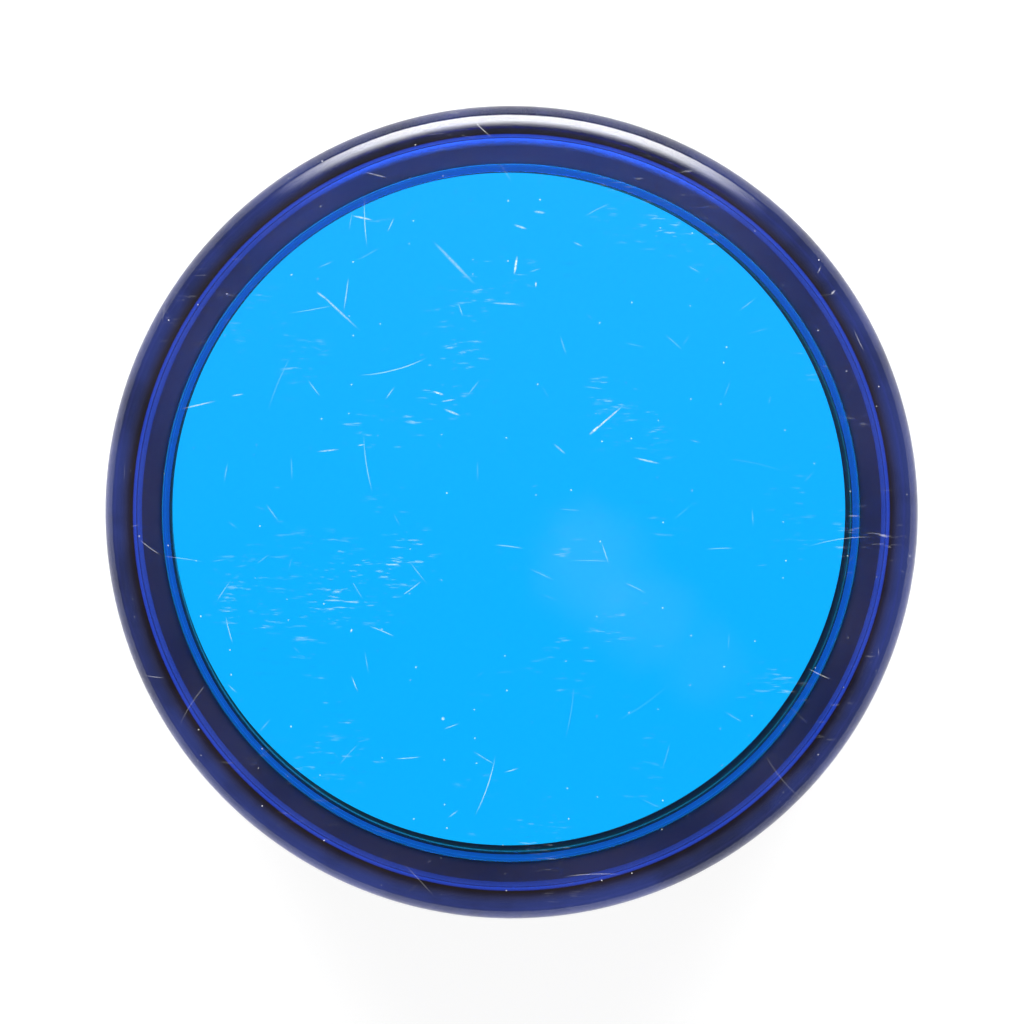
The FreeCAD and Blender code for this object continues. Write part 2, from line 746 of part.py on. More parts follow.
def make_deck():
    deck = Piece("deck")
    deck.pad("deck_level", "deck_top", [disc("deck_radius")])
    deck.dress("Chamfer", "lip_chamfer", rim("deck_radius", "deck_top"))
    deck.pad("sleeve_level", "sleeve_top", discs(GUIDES, "sleeve_radius"))
    deck.pad("boss_level", "deck_level + bite", discs(HOUSING_SCREWS, "boss_radius - deck_boss_margin"))
    deck.pad("board_top", "deck_level + bite", discs(BOARD_SCREWS, "board_boss_radius"))
    rib = deck.pad("deck_top - bite", "deck_top + deck_rib_height",
                   [box("deck_opening_radius", "-deck_rib_half_width",
                        "deck_rib_reach", "deck_rib_half_width")])
    deck.around_axis(rib, DECK_RIB_COUNT)
    deck.cut("sleeve_level - overrun", "sleeve_top + overrun", discs(GUIDES, "pin_radius + fit_gap"))
    deck.cut("boss_level - overrun", "screw_tip_level + screw_tip_play",
             discs(HOUSING_SCREWS, "screw_shank_radius + fit_gap"))
    deck.cut("board_top - overrun", "deck_level + overrun",
             discs(BOARD_SCREWS, "small_screw_radius + fit_gap"))
    deck.cut("deck_level - overrun", "deck_top + 2 * overrun", [disc("deck_opening_radius")])
    deck.cut("deck_level - overrun", "deck_top + 2 * overrun", discs(LIGHTS, "deck_window_radius"))


def make_feet():
    feet = Piece("rubber_feet")
    feet.pad("0", "base_bottom + foot_recess", discs(FEET, "foot_radius"))
    feet.dress("Fillet", "foot_round", circles_at("0"))


# ---------------------------------------------------------------- electronics


def make_circuit_board():
    board = Piece("circuit_board")
    board.pad("board_level", "board_top", [disc("board_radius")])
    board.cut("board_level - overrun", "board_top + overrun",
              discs(BOARD_SCREWS, "small_screw_radius + fit_gap"))


def make_contact_dome():
    dome = Piece("contact_dome")
    dome.revolve([("dome_flange_radius", "board_top"), ("dome_flange_radius", "dome_shoulder"),
                  ("dome_skirt_radius", "dome_shoulder"), ("dome_roof_radius", "dome_roof"),
                  ("dome_crown_radius", "dome_top"), ("0", "dome_top"), ("0", "pill_top"),
                  ("dome_seat_radius", "pill_top"), ("dome_inner_roof_radius", "dome_roof - dome_wall"),
                  ("dome_inner_skirt_radius", "dome_shoulder"), ("dome_mouth_radius", "board_top")])


def make_lights():
    leds = Piece("light_leds")
    leds.pad("board_top", "board_top + led_rim_height", discs(LIGHTS, "led_rim_radius"))
    leds.pad("board_top + led_rim_height / 2", "board_top + led_height", discs(LIGHTS, "led_radius"))
    leds.dress("Fillet", "led_radius - led_shoulder", circles_at("board_top + led_height"))


def make_sound_chip():
    chip = Piece("sound_chip")
    chip.revolve([("0", "board_top"), ("blob_radius", "board_top"),
                  ("blob_shoulder_radius", "board_top + blob_shoulder_height"),
                  ("blob_crown_radius", "board_top + blob_crown_height"), ("0", "board_top + blob_height")],
                 x="blob_x", y="blob_y")


def make_chips(label, places, size_x, size_y, height):
    """Small square-cornered parts standing on the circuit board."""
    chips = Piece(label)
    chips.pad("board_top", f"board_top + {height}",
              [box(f"{x - size_x / 2}", f"{y - size_y / 2}", f"{x + size_x / 2}", f"{y + size_y / 2}")
               for x, y in places])
    chips.dress("Chamfer", str(min(size_x, size_y) / 8), upright)


def make_electrolytic():
    can = Piece("electrolytic_capacitor")
    can.pad("board_level - electrolytic_length", "board_level",
            [disc("electrolytic_radius", "electrolytic_x", "electrolytic_y")])
    can.dress("Fillet", "electrolytic_round", circular)


def make_speaker():
    """A pressed frame open below, a film cone inside it and a magnet on its back."""
    frame = Piece("speaker_frame")
    rim_top = "floor_top + speaker_rim_thickness"
    inner_back = "frame_back - speaker_sheet"
    frame.revolve([("frame_mouth_radius", "floor_top"), ("speaker_radius", "floor_top"),
                   ("speaker_radius", rim_top), ("frame_step_radius", rim_top),
                   ("frame_back_radius", "frame_back"), ("0", "frame_back"), ("0", inner_back),
                   ("frame_inner_back_radius", inner_back),
                   ("frame_inner_mouth_radius", "floor_top + frame_lip")],
                  y="speaker_y")
    frame.cut("frame_back - 3 * overrun", "frame_back + overrun",
              discs(around(4, "frame_hole_circle", 45.0, ("0", "speaker_y")), "frame_hole_radius"))
    make_cone()
    magnet = Piece("speaker_magnet")
    magnet.pad("frame_back", "frame_back + magnet_height", [disc("magnet_radius", "0", "speaker_y")])
    magnet.dress("Fillet", "magnet_round", circular)


def make_cone():
    """Film of one thickness: a flat edge, a rolled surround and the cone itself."""
    front = [("cone_edge_radius", "cone_edge_rise"), ("cone_roll_outer_radius", "cone_roll_rise"),
             ("cone_roll_inner_radius", "cone_valley_rise"), ("cone_neck_radius", "cone_neck_rise"),
             ("0", "cone_middle_rise")]
    back = [(radius, f"{rise} + cone_film") for radius, rise in reversed(front)]
    cone = Piece("speaker_cone")
    cone.revolve([(radius, f"floor_top + {rise}") for radius, rise in front + back], y="speaker_y")


# ---------------------------------------------------------------- cells and contacts


def make_cells():
    """Two cells lying side by side, pointing opposite ways."""
    cells = Piece("battery_cells")
    near_tip = "bay_half_length - 2 * contact_thickness"
    for y, side in (("cell_near_y", 1), ("cell_far_y", -1)):
        shoulder = f"{side} * ({near_tip} - cell_nub_length)"
        tail = f"{side} * ({near_tip} - cell_nub_length - cell_length)"
        cells.pad(*in_order(shoulder, tail), [disc("cell_radius", y, "cell_level")], plane="YZ_Plane")
        inside = f"{side} * ({near_tip} - cell_nub_length - bite)"
        cells.pad(*in_order(f"{side} * ({near_tip})", inside), [disc("cell_nub_radius", y, "cell_level")],
                  plane="YZ_Plane")


def contact_plate(piece, y, side, low, high, half_width):
    """An upright sheet contact against one end wall of the bay."""
    outer = f"{side} * bay_half_length"
    inner = f"{side} * (bay_half_length - contact_thickness)"
    piece.pad(*in_order(outer, inner), [box(f"{y} - {half_width}", low, f"{y} + {half_width}", high)],
              plane="YZ_Plane")


def contact_dimple(piece, y, side):
    """The raised spot that meets a cell's positive end."""
    foot = f"{side} * (bay_half_length - contact_thickness)"
    tip = f"{side} * (bay_half_length - 2 * contact_thickness)"
    piece.pad(*in_order(foot, tip), [disc("dimple_radius", y, "cell_level")], plane="YZ_Plane")


def make_contacts():
    low = "cell_level - contact_half_height"
    high = "cell_level + contact_half_height"
    jumper = Piece("jumper_contact")
    contact_plate(jumper, "door_middle_y", -1, low, high, "jumper_half_width")
    contact_dimple(jumper, "cell_far_y", -1)
    outputs = Piece("output_contacts")
    for y in ("cell_near_y", "cell_far_y"):
        contact_plate(outputs, y, 1, low, high, "output_half_width")
        contact_plate(outputs, y, 1, high, "bay_roof_top + tab_rise", "tab_half_width")
    contact_dimple(outputs, "cell_near_y", 1)


def wound_wire(radius, wire, half_turns, length):
    """A spring wound about +Z from the origin: half turns as arcs, each tilted to meet the next in line."""
    rise = length / half_turns
    bulge = math.hypot(radius, rise / 2)
    arcs = []
    for number in range(half_turns):
        side = 1 if number % 2 == 0 else -1
        start = VECTOR(side * radius, 0, number * rise)
        middle = VECTOR(0, side * bulge, (number + 0.5) * rise)
        end = VECTOR(-side * radius, 0, (number + 1) * rise)
        arcs.append(Part.Arc(start, middle, end).toShape())
    section = Part.Wire([Part.Circle(VECTOR(radius, 0, 0), VECTOR(0, 1, 0), wire).toShape()])
    return Part.Wire(arcs).makePipeShell([section], True, False)


def make_springs(label, radius, wire, half_turns, length, placements):
    """Wound springs as one sub-part. No primitive or sketch gives a wound wire, so it is swept directly."""
    coil = wound_wire(value(radius), value(wire), half_turns, value(length))
    springs = DOC.addObject("Part::Feature", label)
    springs.Label = label
    springs.Shape = Part.makeCompound([coil.transformed(place.toMatrix(), True) for place in placements])
    return springs


def make_return_springs():
    wire = "spring_wire_radius"
    seat = f"deck_top + {wire} + spring_clearance"
    length = f"carrier_bottom - deck_top - 2 * {wire} - 2 * spring_clearance"
    placements = [FreeCAD.Placement(VECTOR(value(x), value(y), value(seat)), FreeCAD.Rotation())
                  for x, y in GUIDES]
    make_springs("return_springs", "spring_radius", wire, RETURN_HALF_TURNS, length, placements)


def make_contact_springs():
    """Springs at the cells' negative ends, lying along the cells."""
    wire = "contact_wire_radius"
    tip = "bay_half_length - 2 * contact_thickness - cell_nub_length - cell_length"
    room = f"({tip} + bay_half_length - contact_thickness)"
    length = f"{room} - 2 * {wire} - 2 * spring_clearance"
    placements = []
    for y, side in (("cell_near_y", -1), ("cell_far_y", 1)):
        start = f"{side} * (bay_half_length - contact_thickness - {wire} - spring_clearance)"
        turn = FreeCAD.Rotation(VECTOR(0, 1, 0), -90 * side)
        placements.append(FreeCAD.Placement(VECTOR(value(start), value(y), value("cell_level")), turn))
    make_springs("contact_springs", "contact_spring_radius", wire, CONTACT_HALF_TURNS, length, placements)


# ---------------------------------------------------------------- battery door


def make_battery_door():
    door = Piece("battery_door")
    door.pad("base_bottom", "door_top", [box("door_hinge_x", "door_far_y", "door_end_x", "door_near_y")])
    door.pad("base_bottom", "door_top", discs([DOOR_SCREW], "door_lobe_radius"))
    door.pad("base_bottom", "door_top",
             [box("door_end_x - overrun", "door_middle_y - door_lobe_radius", "door_screw_x",
                  "door_middle_y + door_lobe_radius")])
    door.pad("-(door_near_y)", "-(door_far_y)", [disc("door_barrel_radius", "door_hinge_x", "hinge_level")],
             plane="XZ_Plane")
    reach = "door_gap + door_pin_length - door_pin_play"
    door.pad(f"-(door_near_y + {reach})", f"-(door_far_y - {reach})",
             [disc("door_pin_radius", "door_hinge_x", "hinge_level")], plane="XZ_Plane")
    door.cut("base_bottom - overrun", "base_bottom + door_head_seat_depth",
             discs([DOOR_SCREW], "door_head_seat_radius"))
    door.cut("base_bottom - overrun", "door_top + overrun",
             discs([DOOR_SCREW], "door_screw_shank_radius + fit_gap"))
    for step in range(DOOR_GROOVE_COUNT):
        groove_x = f"grip_start_x + {step} * grip_pitch"
        door.cut("base_bottom - overrun", "base_bottom + grip_depth",
                 [box(groove_x, "door_middle_y - grip_half_length", f"{groove_x} + grip_width",
                      "door_middle_y + grip_half_length")])
    pad = Piece("door_pad")
    pad.pad("door_top", "cell_level - cell_radius",
            [box("-door_pad_half_length", "bay_far_y + door_pad_margin", "door_pad_half_length",
                 "bay_near_y - door_pad_margin")])


def make_door_screw():
    pan_screws("door_screw", [DOOR_SCREW], "base_bottom + door_head_seat_depth",
               "door_head_seat_depth + door_screw_reach", "door_screw_shank_radius",
               "door_screw_head_radius", "door_screw_head_height")


# ---------------------------------------------------------------- power switch


def make_power_switch():
    """A slide switch lying on its side: a sheet can open outwards, its slider and the knob."""
    can = Piece("switch_can")
    can.pad("can_back_x", "can_front_x",
            [centred("can_half_length", "can_half_height", middle_y="switch_level")], plane="YZ_Plane")
    can.cut("can_back_x + can_sheet", "can_front_x + overrun",
            [centred("(can_half_length - can_sheet)", "(can_half_height - can_lip)",
                     middle_y="switch_level")], plane="YZ_Plane")
    slider = Piece("switch_slider")
    slider.pad("slider_back_x", "slider_front_x", [on_knob("slider_half_length", "slider_half_height")],
               plane="YZ_Plane")
    slider.pad("slider_front_x - overrun / 10", "stem_front_x",
               [on_knob("stem_half_length", "stem_half_height")], plane="YZ_Plane")
    knob = Piece("switch_knob")
    knob.pad("stem_front_x", "switch_face_x + knob_rise", [on_knob("knob_half_width", "knob_half_height")],
             plane="YZ_Plane")
    for step in (-1, 0, 1):
        groove = on_knob("knob_groove_half_width", "(knob_half_height + overrun)",
                         f"{step} * knob_groove_pitch")
        knob.cut("switch_face_x + knob_rise - knob_groove_depth", "switch_face_x + knob_rise + overrun",
                 [groove], plane="YZ_Plane")


def on_knob(half_length, half_height, along="0"):
    """A rectangle about the knob's middle, or a way along from it."""
    return centred(half_length, half_height, f"knob_rest_y + {along}", "switch_level")


# ---------------------------------------------------------------- leads


def lead(points, radius, bend):
    """A round wire along straight runs joined by tangent arcs."""
    places = [VECTOR(*[value(text) for text in point]) for point in points]
    edges = []
    start = places[0]
    for before, corner, after in zip(places, places[1:], places[2:]):
        inward = (corner - before).normalize()
        outward = (after - corner).normalize()
        half_turn = inward.getAngle(outward) / 2
        trim = bend * math.tan(half_turn)
        first = corner - inward * trim
        last = corner + outward * trim
        side = (outward - inward).normalize()
        middle = corner + side * (bend / math.cos(half_turn) - bend)
        edges.append(Part.LineSegment(start, first).toShape())
        edges.append(Part.Arc(first, middle, last).toShape())
        start = last
    edges.append(Part.LineSegment(start, places[-1]).toShape())
    path = Part.Wire(edges)
    heading = (places[1] - places[0]).normalize()
    section = Part.Wire([Part.Circle(places[0], heading, radius).toShape()])
    return path.makePipeShell([section], True, False)


def make_leads(label, routes, bend):
    """Several leads as one sub-part, swept directly: a free path in space has no sketch plane."""
    radius = value("lead_radius")
    leads = DOC.addObject("Part::Feature", label)
    leads.Label = label
    leads.Shape = Part.makeCompound([lead(route, radius, bend) for route in routes])
    return leads


def speaker_route(x):
    """From a tab on the speaker's frame up to the board's underside."""
    tab_y = "speaker_y - speaker_tab_reach"
    joint_y = "speaker_y - speaker_lead_reach"
    return [(x, tab_y, "floor_top + speaker_tab_rise"), (x, tab_y, "boss_level"), (x, joint_y, "14.5"),
            (x, joint_y, "board_underside")]


def switch_route(step):
    """From the switch's back, over the floor's boss and up to the board's underside."""
    start_y = f"switch_lead_y + {step} * lead_spacing"
    joint_y = f"switch_joint_y + {step} * lead_spacing"
    return [("can_back_x - fit_gap", start_y, "switch_level"), ("33", start_y, "switch_level"),
            ("30", start_y, "11"), ("switch_joint_x", joint_y, "13.5"),
            ("switch_joint_x", joint_y, "board_underside")]


def battery_route():
    """From the far output contact along the roof of the bay."""
    over_roof = "bay_roof_top + lead_radius + 0.15"
    start_x = "bay_half_length - tab_slot_depth - fit_gap"
    return [(start_x, "cell_far_y", over_roof), ("19", "cell_far_y", over_roof),
            ("16", "battery_joint_y", over_roof), ("battery_joint_x", "battery_joint_y", over_roof)]


def make_all_leads():
    make_leads("speaker_leads", [speaker_route(f"{side} * speaker_lead_x") for side in (-1, 1)], TIGHT_BEND)
    make_leads("switch_leads", [switch_route(step) for step in (0, 1)], EASY_BEND)
    make_leads("battery_lead", [battery_route()], TIGHT_BEND)


# ---------------------------------------------------------------- build, check, write


def build():
    make_push_cap()
    make_diffuser_disc()
    make_cap_carrier()
    make_pin_washers()
    pan_screws("pin_screws", GUIDES, "washer_bottom", "pin_screw_reach", "small_screw_radius",
               "pin_screw_head_radius", "small_head_height")
    make_contact_pill()
    make_base_tub()
    make_deck()
    make_feet()
    pan_screws("housing_screws", HOUSING_SCREWS, "screw_seat_level", "screw_tip_level - screw_seat_level",
               "screw_shank_radius", "screw_head_radius", "screw_head_height")
    make_return_springs()
    make_contact_dome()
    make_circuit_board()
    make_sound_chip()
    make_lights()
    make_chips("chip_resistors", RESISTOR_PLACES, 2.0, 1.25, 0.6)
    make_chips("chip_capacitors", CAPACITOR_PLACES, 1.6, 1.2, 0.9)
    make_chips("transistors", TRANSISTOR_PLACES, 2.9, 1.4, 1.0)
    make_electrolytic()
    pan_screws("board_screws", BOARD_SCREWS, "board_level", "board_thickness + board_screw_bite",
               "small_screw_radius", "small_head_radius", "small_head_height")
    make_speaker()
    pan_screws("speaker_screws", SPEAKER_SCREWS, "floor_top + speaker_rim_thickness", "speaker_screw_length",
               "small_screw_radius", "speaker_screw_head_radius", "small_head_height", downward=False)
    make_cells()
    make_contacts()
    make_contact_springs()
    make_battery_door()
    make_door_screw()
    make_power_switch()
    make_all_leads()


def sub_parts():
    """Every labelled sub-part: the sketched bodies and the swept springs and leads."""
    return [item for item in DOC.Objects if item.TypeId in ("PartDesign::Body", "Part::Feature")]


def check():
    DOC.recompute()
    for item in DOC.Objects:
        if "Invalid" in item.State or "Error" in item.State:
            raise RuntimeError(f"{item.Name} is {item.State}")
    for item in sub_parts():
        if item.Shape.isNull() or not item.Shape.isValid() or not item.Shape.Solids:
            raise RuntimeError(f"{item.Label} has no valid shape")


def write():
    os.makedirs("parts", exist_ok=True)
    for item in sub_parts():
        item.Shape.exportStep(f"parts/{item.Label}.step")
        size = item.Shape.BoundBox
        print(f"{item.Label:24s} solids {len(item.Shape.Solids):2d}  volume {item.Shape.Volume:9.1f}"
              f"  z {size.ZMin:6.2f} to {size.ZMax:6.2f}")


build()
check()
write()
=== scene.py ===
import json
import math

import bmesh
import bpy
from mathutils import Matrix, Vector


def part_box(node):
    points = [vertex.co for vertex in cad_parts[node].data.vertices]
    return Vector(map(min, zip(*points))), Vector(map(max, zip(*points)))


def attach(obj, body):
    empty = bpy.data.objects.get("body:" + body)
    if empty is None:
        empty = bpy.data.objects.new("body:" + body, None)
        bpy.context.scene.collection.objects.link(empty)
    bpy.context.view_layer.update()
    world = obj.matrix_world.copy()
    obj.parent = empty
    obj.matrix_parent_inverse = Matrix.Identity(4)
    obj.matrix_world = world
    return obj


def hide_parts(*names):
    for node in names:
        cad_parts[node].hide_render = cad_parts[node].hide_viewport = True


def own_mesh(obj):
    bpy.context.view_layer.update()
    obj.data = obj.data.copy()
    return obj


# A quiz buzzer on a pale floor, seen from straight above. Metres throughout.

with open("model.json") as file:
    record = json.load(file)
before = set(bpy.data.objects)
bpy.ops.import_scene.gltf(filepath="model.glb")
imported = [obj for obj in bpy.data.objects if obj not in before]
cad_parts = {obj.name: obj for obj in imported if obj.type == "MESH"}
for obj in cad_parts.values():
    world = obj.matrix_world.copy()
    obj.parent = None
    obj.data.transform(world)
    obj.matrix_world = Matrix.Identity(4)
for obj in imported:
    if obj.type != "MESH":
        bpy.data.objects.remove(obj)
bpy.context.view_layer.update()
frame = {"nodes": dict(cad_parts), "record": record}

MM = 0.001


# ---------------------------------------------------------------- camera

CAMERA_DISTANCE = 0.400
CAMERA_LENS_MM = 128.1
CAMERA_SENSOR_MM = 36.0
CAMERA_TILT_DEG = 2.6
CAMERA_TILT_TOWARDS_DEG = 45.0
CAMERA_SHIFT = (0.0026, 0.0023)


def add_camera():
    """A long lens almost straight above the cap, leaning a little to the far right."""
    target = Vector((0, 0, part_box("push_cap")[1].z))
    tilt = math.radians(CAMERA_TILT_DEG)
    towards = math.radians(CAMERA_TILT_TOWARDS_DEG)
    lean = Vector((math.cos(towards), math.sin(towards), 0)) * math.sin(tilt)
    data = bpy.data.cameras.new("camera")
    data.lens = CAMERA_LENS_MM
    data.sensor_width = CAMERA_SENSOR_MM
    data.clip_start = 0.01
    data.shift_x, data.shift_y = CAMERA_SHIFT
    camera = bpy.data.objects.new("camera", data)
    bpy.context.scene.collection.objects.link(camera)
    back = lean + Vector((0, 0, math.cos(tilt)))
    right = Vector((0, 1, 0)).cross(back).normalized()
    up = back.cross(right).normalized()
    turn = Matrix((right, up, back)).transposed().to_4x4()
    camera.matrix_world = Matrix.Translation(target + back * CAMERA_DISTANCE) @ turn
    bpy.context.scene.camera = camera


# ---------------------------------------------------------------- node helpers


class Nodes:
    """Short calls for building one node tree."""

    def __init__(self, tree):
        self.tree = tree
        tree.nodes.clear()

    def new(self, kind, settings=(), **inputs):
        node = self.tree.nodes.new(kind)
        for name, setting in dict(settings).items():
            setattr(node, name, setting)
        for name, given in inputs.items():
            self.feed(node, name.replace("_", " "), given)
        return node

    def feed(self, node, name, given):
        socket = node.inputs[int(name)] if name.isdigit() else node.inputs[name]
        if isinstance(given, bpy.types.NodeSocket):
            self.tree.links.new(given, socket)
        else:
            socket.default_value = given

    def math(self, operation, first, second=0.0):
        node = self.new("ShaderNodeMath", {"operation": operation})
        self.feed(node, "0", first)
        self.feed(node, "1", second)
        return node.outputs[0]

    def product(self, *factors):
        result = factors[0]
        for factor in factors[1:]:
            result = self.math("MULTIPLY", result, factor)
        return result

    def total(self, *terms):
        result = terms[0]
        for term in terms[1:]:
            result = self.math("ADD", result, term)
        return result

    def strongest(self, masks):
        result = masks[0]
        for mask in masks[1:]:
            result = self.math("MAXIMUM", result, mask)
        return result

    def ramp(self, given, low, high, to_low=0.0, to_high=1.0):
        """A clamped smooth step."""
        node = self.new("ShaderNodeMapRange", {"interpolation_type": "SMOOTHSTEP"}, Value=given,
                        From_Min=low, From_Max=high, To_Min=to_low, To_Max=to_high)
        return node.outputs["Result"]

    def mix(self, factor, first, second):
        node = self.new("ShaderNodeMix", {"data_type": "RGBA"})
        self.feed(node, "0", factor)
        self.feed(node, "6", first)
        self.feed(node, "7", second)
        return node.outputs[2]

    def noise(self, place, scale, detail=3.0, roughness=0.5):
        node = self.new("ShaderNodeTexNoise", Vector=place, Scale=scale, Detail=detail, Roughness=roughness)
        return node.outputs["Fac"]

    def place(self):
        """Where a point is in the row's frame, in metres."""
        return self.new("ShaderNodeTexCoord").outputs["Object"]

    def split(self, vector):
        parts = self.new("ShaderNodeSeparateXYZ", Vector=vector)
        return parts.outputs["X"], parts.outputs["Y"], parts.outputs["Z"]

    def stretched(self, place, scale, turn_deg=0.0):
        turn = (0.0, 0.0, math.radians(turn_deg))
        return self.new("ShaderNodeMapping", Vector=place, Rotation=turn, Scale=scale).outputs[0]

    def bump(self, height, strength, distance):
        node = self.new("ShaderNodeBump", Strength=strength, Distance=distance, Height=height)
        return node.outputs["Normal"]

    def finish(self, surface, volume=None):
        end = self.new("ShaderNodeOutputMaterial")
        self.tree.links.new(surface.outputs[0], end.inputs["Surface"])
        if volume is not None:
            self.tree.links.new(volume.outputs[0], end.inputs["Volume"])


def new_material(name):
    material = bpy.data.materials.new(name)
    material.use_nodes = True
    return material, Nodes(material.node_tree)


def grey(level):
    return (level, level, level, 1.0)


# ---------------------------------------------------------------- world, floor


SKY_BRIGHTNESS = 0.40
ZENITH_NEAR_BRIGHTNESS = 0.12
ZENITH_FAR_BRIGHTNESS = 0.36
ZENITH_EDGE = (-0.10, 0.12)
OVERHEAD_EDGE = (0.90, 0.985)
WINDOW_BRIGHTNESS = 23.0
# the window's lower and upper edges, as sines of elevation, and how near to straight ahead its sides are
WINDOW_SILL = (0.10, 0.22)
WINDOW_LINTEL = (0.90, 0.50)
WINDOW_SIDES = (0.76, 0.98)
# faint patches of light overhead: direction, size, brightness
CLOUD_LOBES = [
    ((-0.004, -0.048, 0.999), 0.018, 0.46),
    ((0.014, -0.066, 0.998), 0.016, 0.36),
    ((0.034, -0.082, 0.996), 0.014, 0.22),
]


def patch_of_light(nodes, direction, centre, size, brightness):
    """A soft ragged patch around one direction."""
    offset = nodes.new("ShaderNodeVectorMath", {"operation": "DISTANCE"})
    nodes.feed(offset, "0", direction)
    nodes.feed(offset, "1", centre)
    ragged = nodes.product(nodes.noise(direction, 55.0, 2.0), size)
    reach = nodes.total(offset.outputs["Value"], ragged)
    return nodes.product(nodes.ramp(reach, 1.9 * size, 0.9 * size), brightness)


def build_world():
    """A soft grey dome, darker overhead, with a broad low window beyond the far side and faint patches."""
    world = bpy.data.worlds.new("studio")
    bpy.context.scene.world = world
    world.use_nodes = True
    nodes = Nodes(world.node_tree)
    direction = nodes.new("ShaderNodeTexCoord").outputs["Generated"]
    _, far, height = nodes.split(direction)
    zenith = nodes.ramp(far, *ZENITH_EDGE, ZENITH_NEAR_BRIGHTNESS, ZENITH_FAR_BRIGHTNESS)
    overhead = nodes.ramp(height, *OVERHEAD_EDGE)
    dome = nodes.total(nodes.product(overhead, zenith),
                       nodes.product(nodes.math("SUBTRACT", 1.0, overhead), SKY_BRIGHTNESS))
    flat = nodes.math("SQRT", nodes.math("SUBTRACT", 1.0, nodes.product(height, height)))
    facing = nodes.math("DIVIDE", far, nodes.math("MAXIMUM", flat, 0.001))
    sill = nodes.ramp(height, *WINDOW_SILL)
    lintel = nodes.ramp(height, *WINDOW_LINTEL)
    window = nodes.product(sill, lintel, nodes.ramp(facing, *WINDOW_SIDES), WINDOW_BRIGHTNESS)
    cloud = nodes.total(*[patch_of_light(nodes, direction, *lobe) for lobe in CLOUD_LOBES])
    background = nodes.new("ShaderNodeBackground", Color=grey(1.0),
                           Strength=nodes.total(dome, window, cloud))
    end = nodes.new("ShaderNodeOutputWorld")
    nodes.tree.links.new(background.outputs[0], end.inputs["Surface"])


FLOOR_HALF_SIZE = 6.0
FLOOR_GREY = 0.20
FLOOR_GLOW = 0.89


def add_floor():
    """A plain white glowing table, so that hardly a shadow stays on it."""
    mesh = bpy.data.meshes.new("floor")
    half = FLOOR_HALF_SIZE
    corners = [(-half, -half, 0), (half, -half, 0), (half, half, 0), (-half, half, 0)]
    mesh.from_pydata(corners, [], [(0, 1, 2, 3)])
    floor = bpy.data.objects.new("floor", mesh)
    bpy.context.scene.collection.objects.link(floor)
    material, nodes = new_material("floor_white")
    nodes.finish(nodes.new("ShaderNodeBsdfPrincipled", Base_Color=grey(FLOOR_GREY), Roughness=0.9,
                           Emission_Color=grey(1.0), Emission_Strength=FLOOR_GLOW))
    mesh.materials.append(material)


# ---------------------------------------------------------------- turned and wound shapes


TURN_STEPS = 256
DOME_TURN_STEPS = 96
ROUND_STEPS = 8
# a rounding this large gets finer steps
LARGE_ROUND = 1 * MM
FINER = 4
ON_AXIS = 1e-7
SHARP_EDGE_DEG = 28.0


def softened(corners):
    """A section's points from its corners (radius, height, rounding), with an arc at each rounded one."""
    points = []
    for number, (radius, height, rounding) in enumerate(corners):
        corner = Vector((radius, height))
        if rounding == 0:
            points.append(corner)
            continue
        back = (Vector(corners[number - 1][:2]) - corner).normalized()
        onward = (Vector(corners[(number + 1) % len(corners)][:2]) - corner).normalized()
        half_angle = back.angle(onward) / 2
        middle = corner + (back + onward).normalized() * rounding / math.sin(half_angle)
        start = corner + back * rounding / math.tan(half_angle) - middle
        end = corner + onward * rounding / math.tan(half_angle) - middle
        turn = math.atan2(start.x * end.y - start.y * end.x, start.dot(end))
        steps = max(ROUND_STEPS // 2, round(ROUND_STEPS * abs(turn) / (math.pi / 2)))
        steps = steps * FINER if rounding > LARGE_ROUND else steps
        for step in range(steps + 1):
            spoke = start.copy()
            spoke.rotate(Matrix.Rotation(turn * step / steps, 2))
            points.append(middle + spoke)
    return points


def turned(name, corners, centre=(0.0, 0.0), steps=TURN_STEPS):
    """A solid of revolution about an upright axis, from its section's corners in order."""
    shape = bmesh.new()
    add_turned(shape, softened(corners), centre, steps)
    return new_piece(name, shape)


def add_turned(shape, section, centre, steps):
    rings = []
    for point in section:
        if point.x < ON_AXIS:
            rings.append([shape.verts.new((centre[0], centre[1], point.y))])
            continue
        angles = [2 * math.pi * step / steps for step in range(steps)]
        rings.append([shape.verts.new((centre[0] + point.x * math.cos(angle),
                                       centre[1] + point.x * math.sin(angle), point.y)) for angle in angles])
    for near, far in zip(rings, rings[1:] + rings[:1]):
        join_rings(shape, near, far)


def join_rings(shape, near, far):
    """Faces between two rings of points, either of which may be a single point."""
    count = max(len(near), len(far))
    for step in range(count if count > 1 else 0):
        following = (step + 1) % count
        corners = [near[step % len(near)], near[following % len(near)],
                   far[following % len(far)], far[step % len(far)]]
        shape.faces.new(list(dict.fromkeys(corners)))


def new_piece(name, shape):
    """A smooth-shaded object from a finished bmesh."""
    bmesh.ops.recalc_face_normals(shape, faces=shape.faces)
    mesh = bpy.data.meshes.new(name)
    shape.to_mesh(mesh)
    shape.free()
    piece = bpy.data.objects.new(name, mesh)
    bpy.context.scene.collection.objects.link(piece)
    mesh.set_sharp_from_angle(angle=math.radians(SHARP_EDGE_DEG))
    for polygon in mesh.polygons:
        polygon.use_smooth = True
    return piece


COIL_STEPS_PER_TURN = 40
WIRE_SIDES = 12


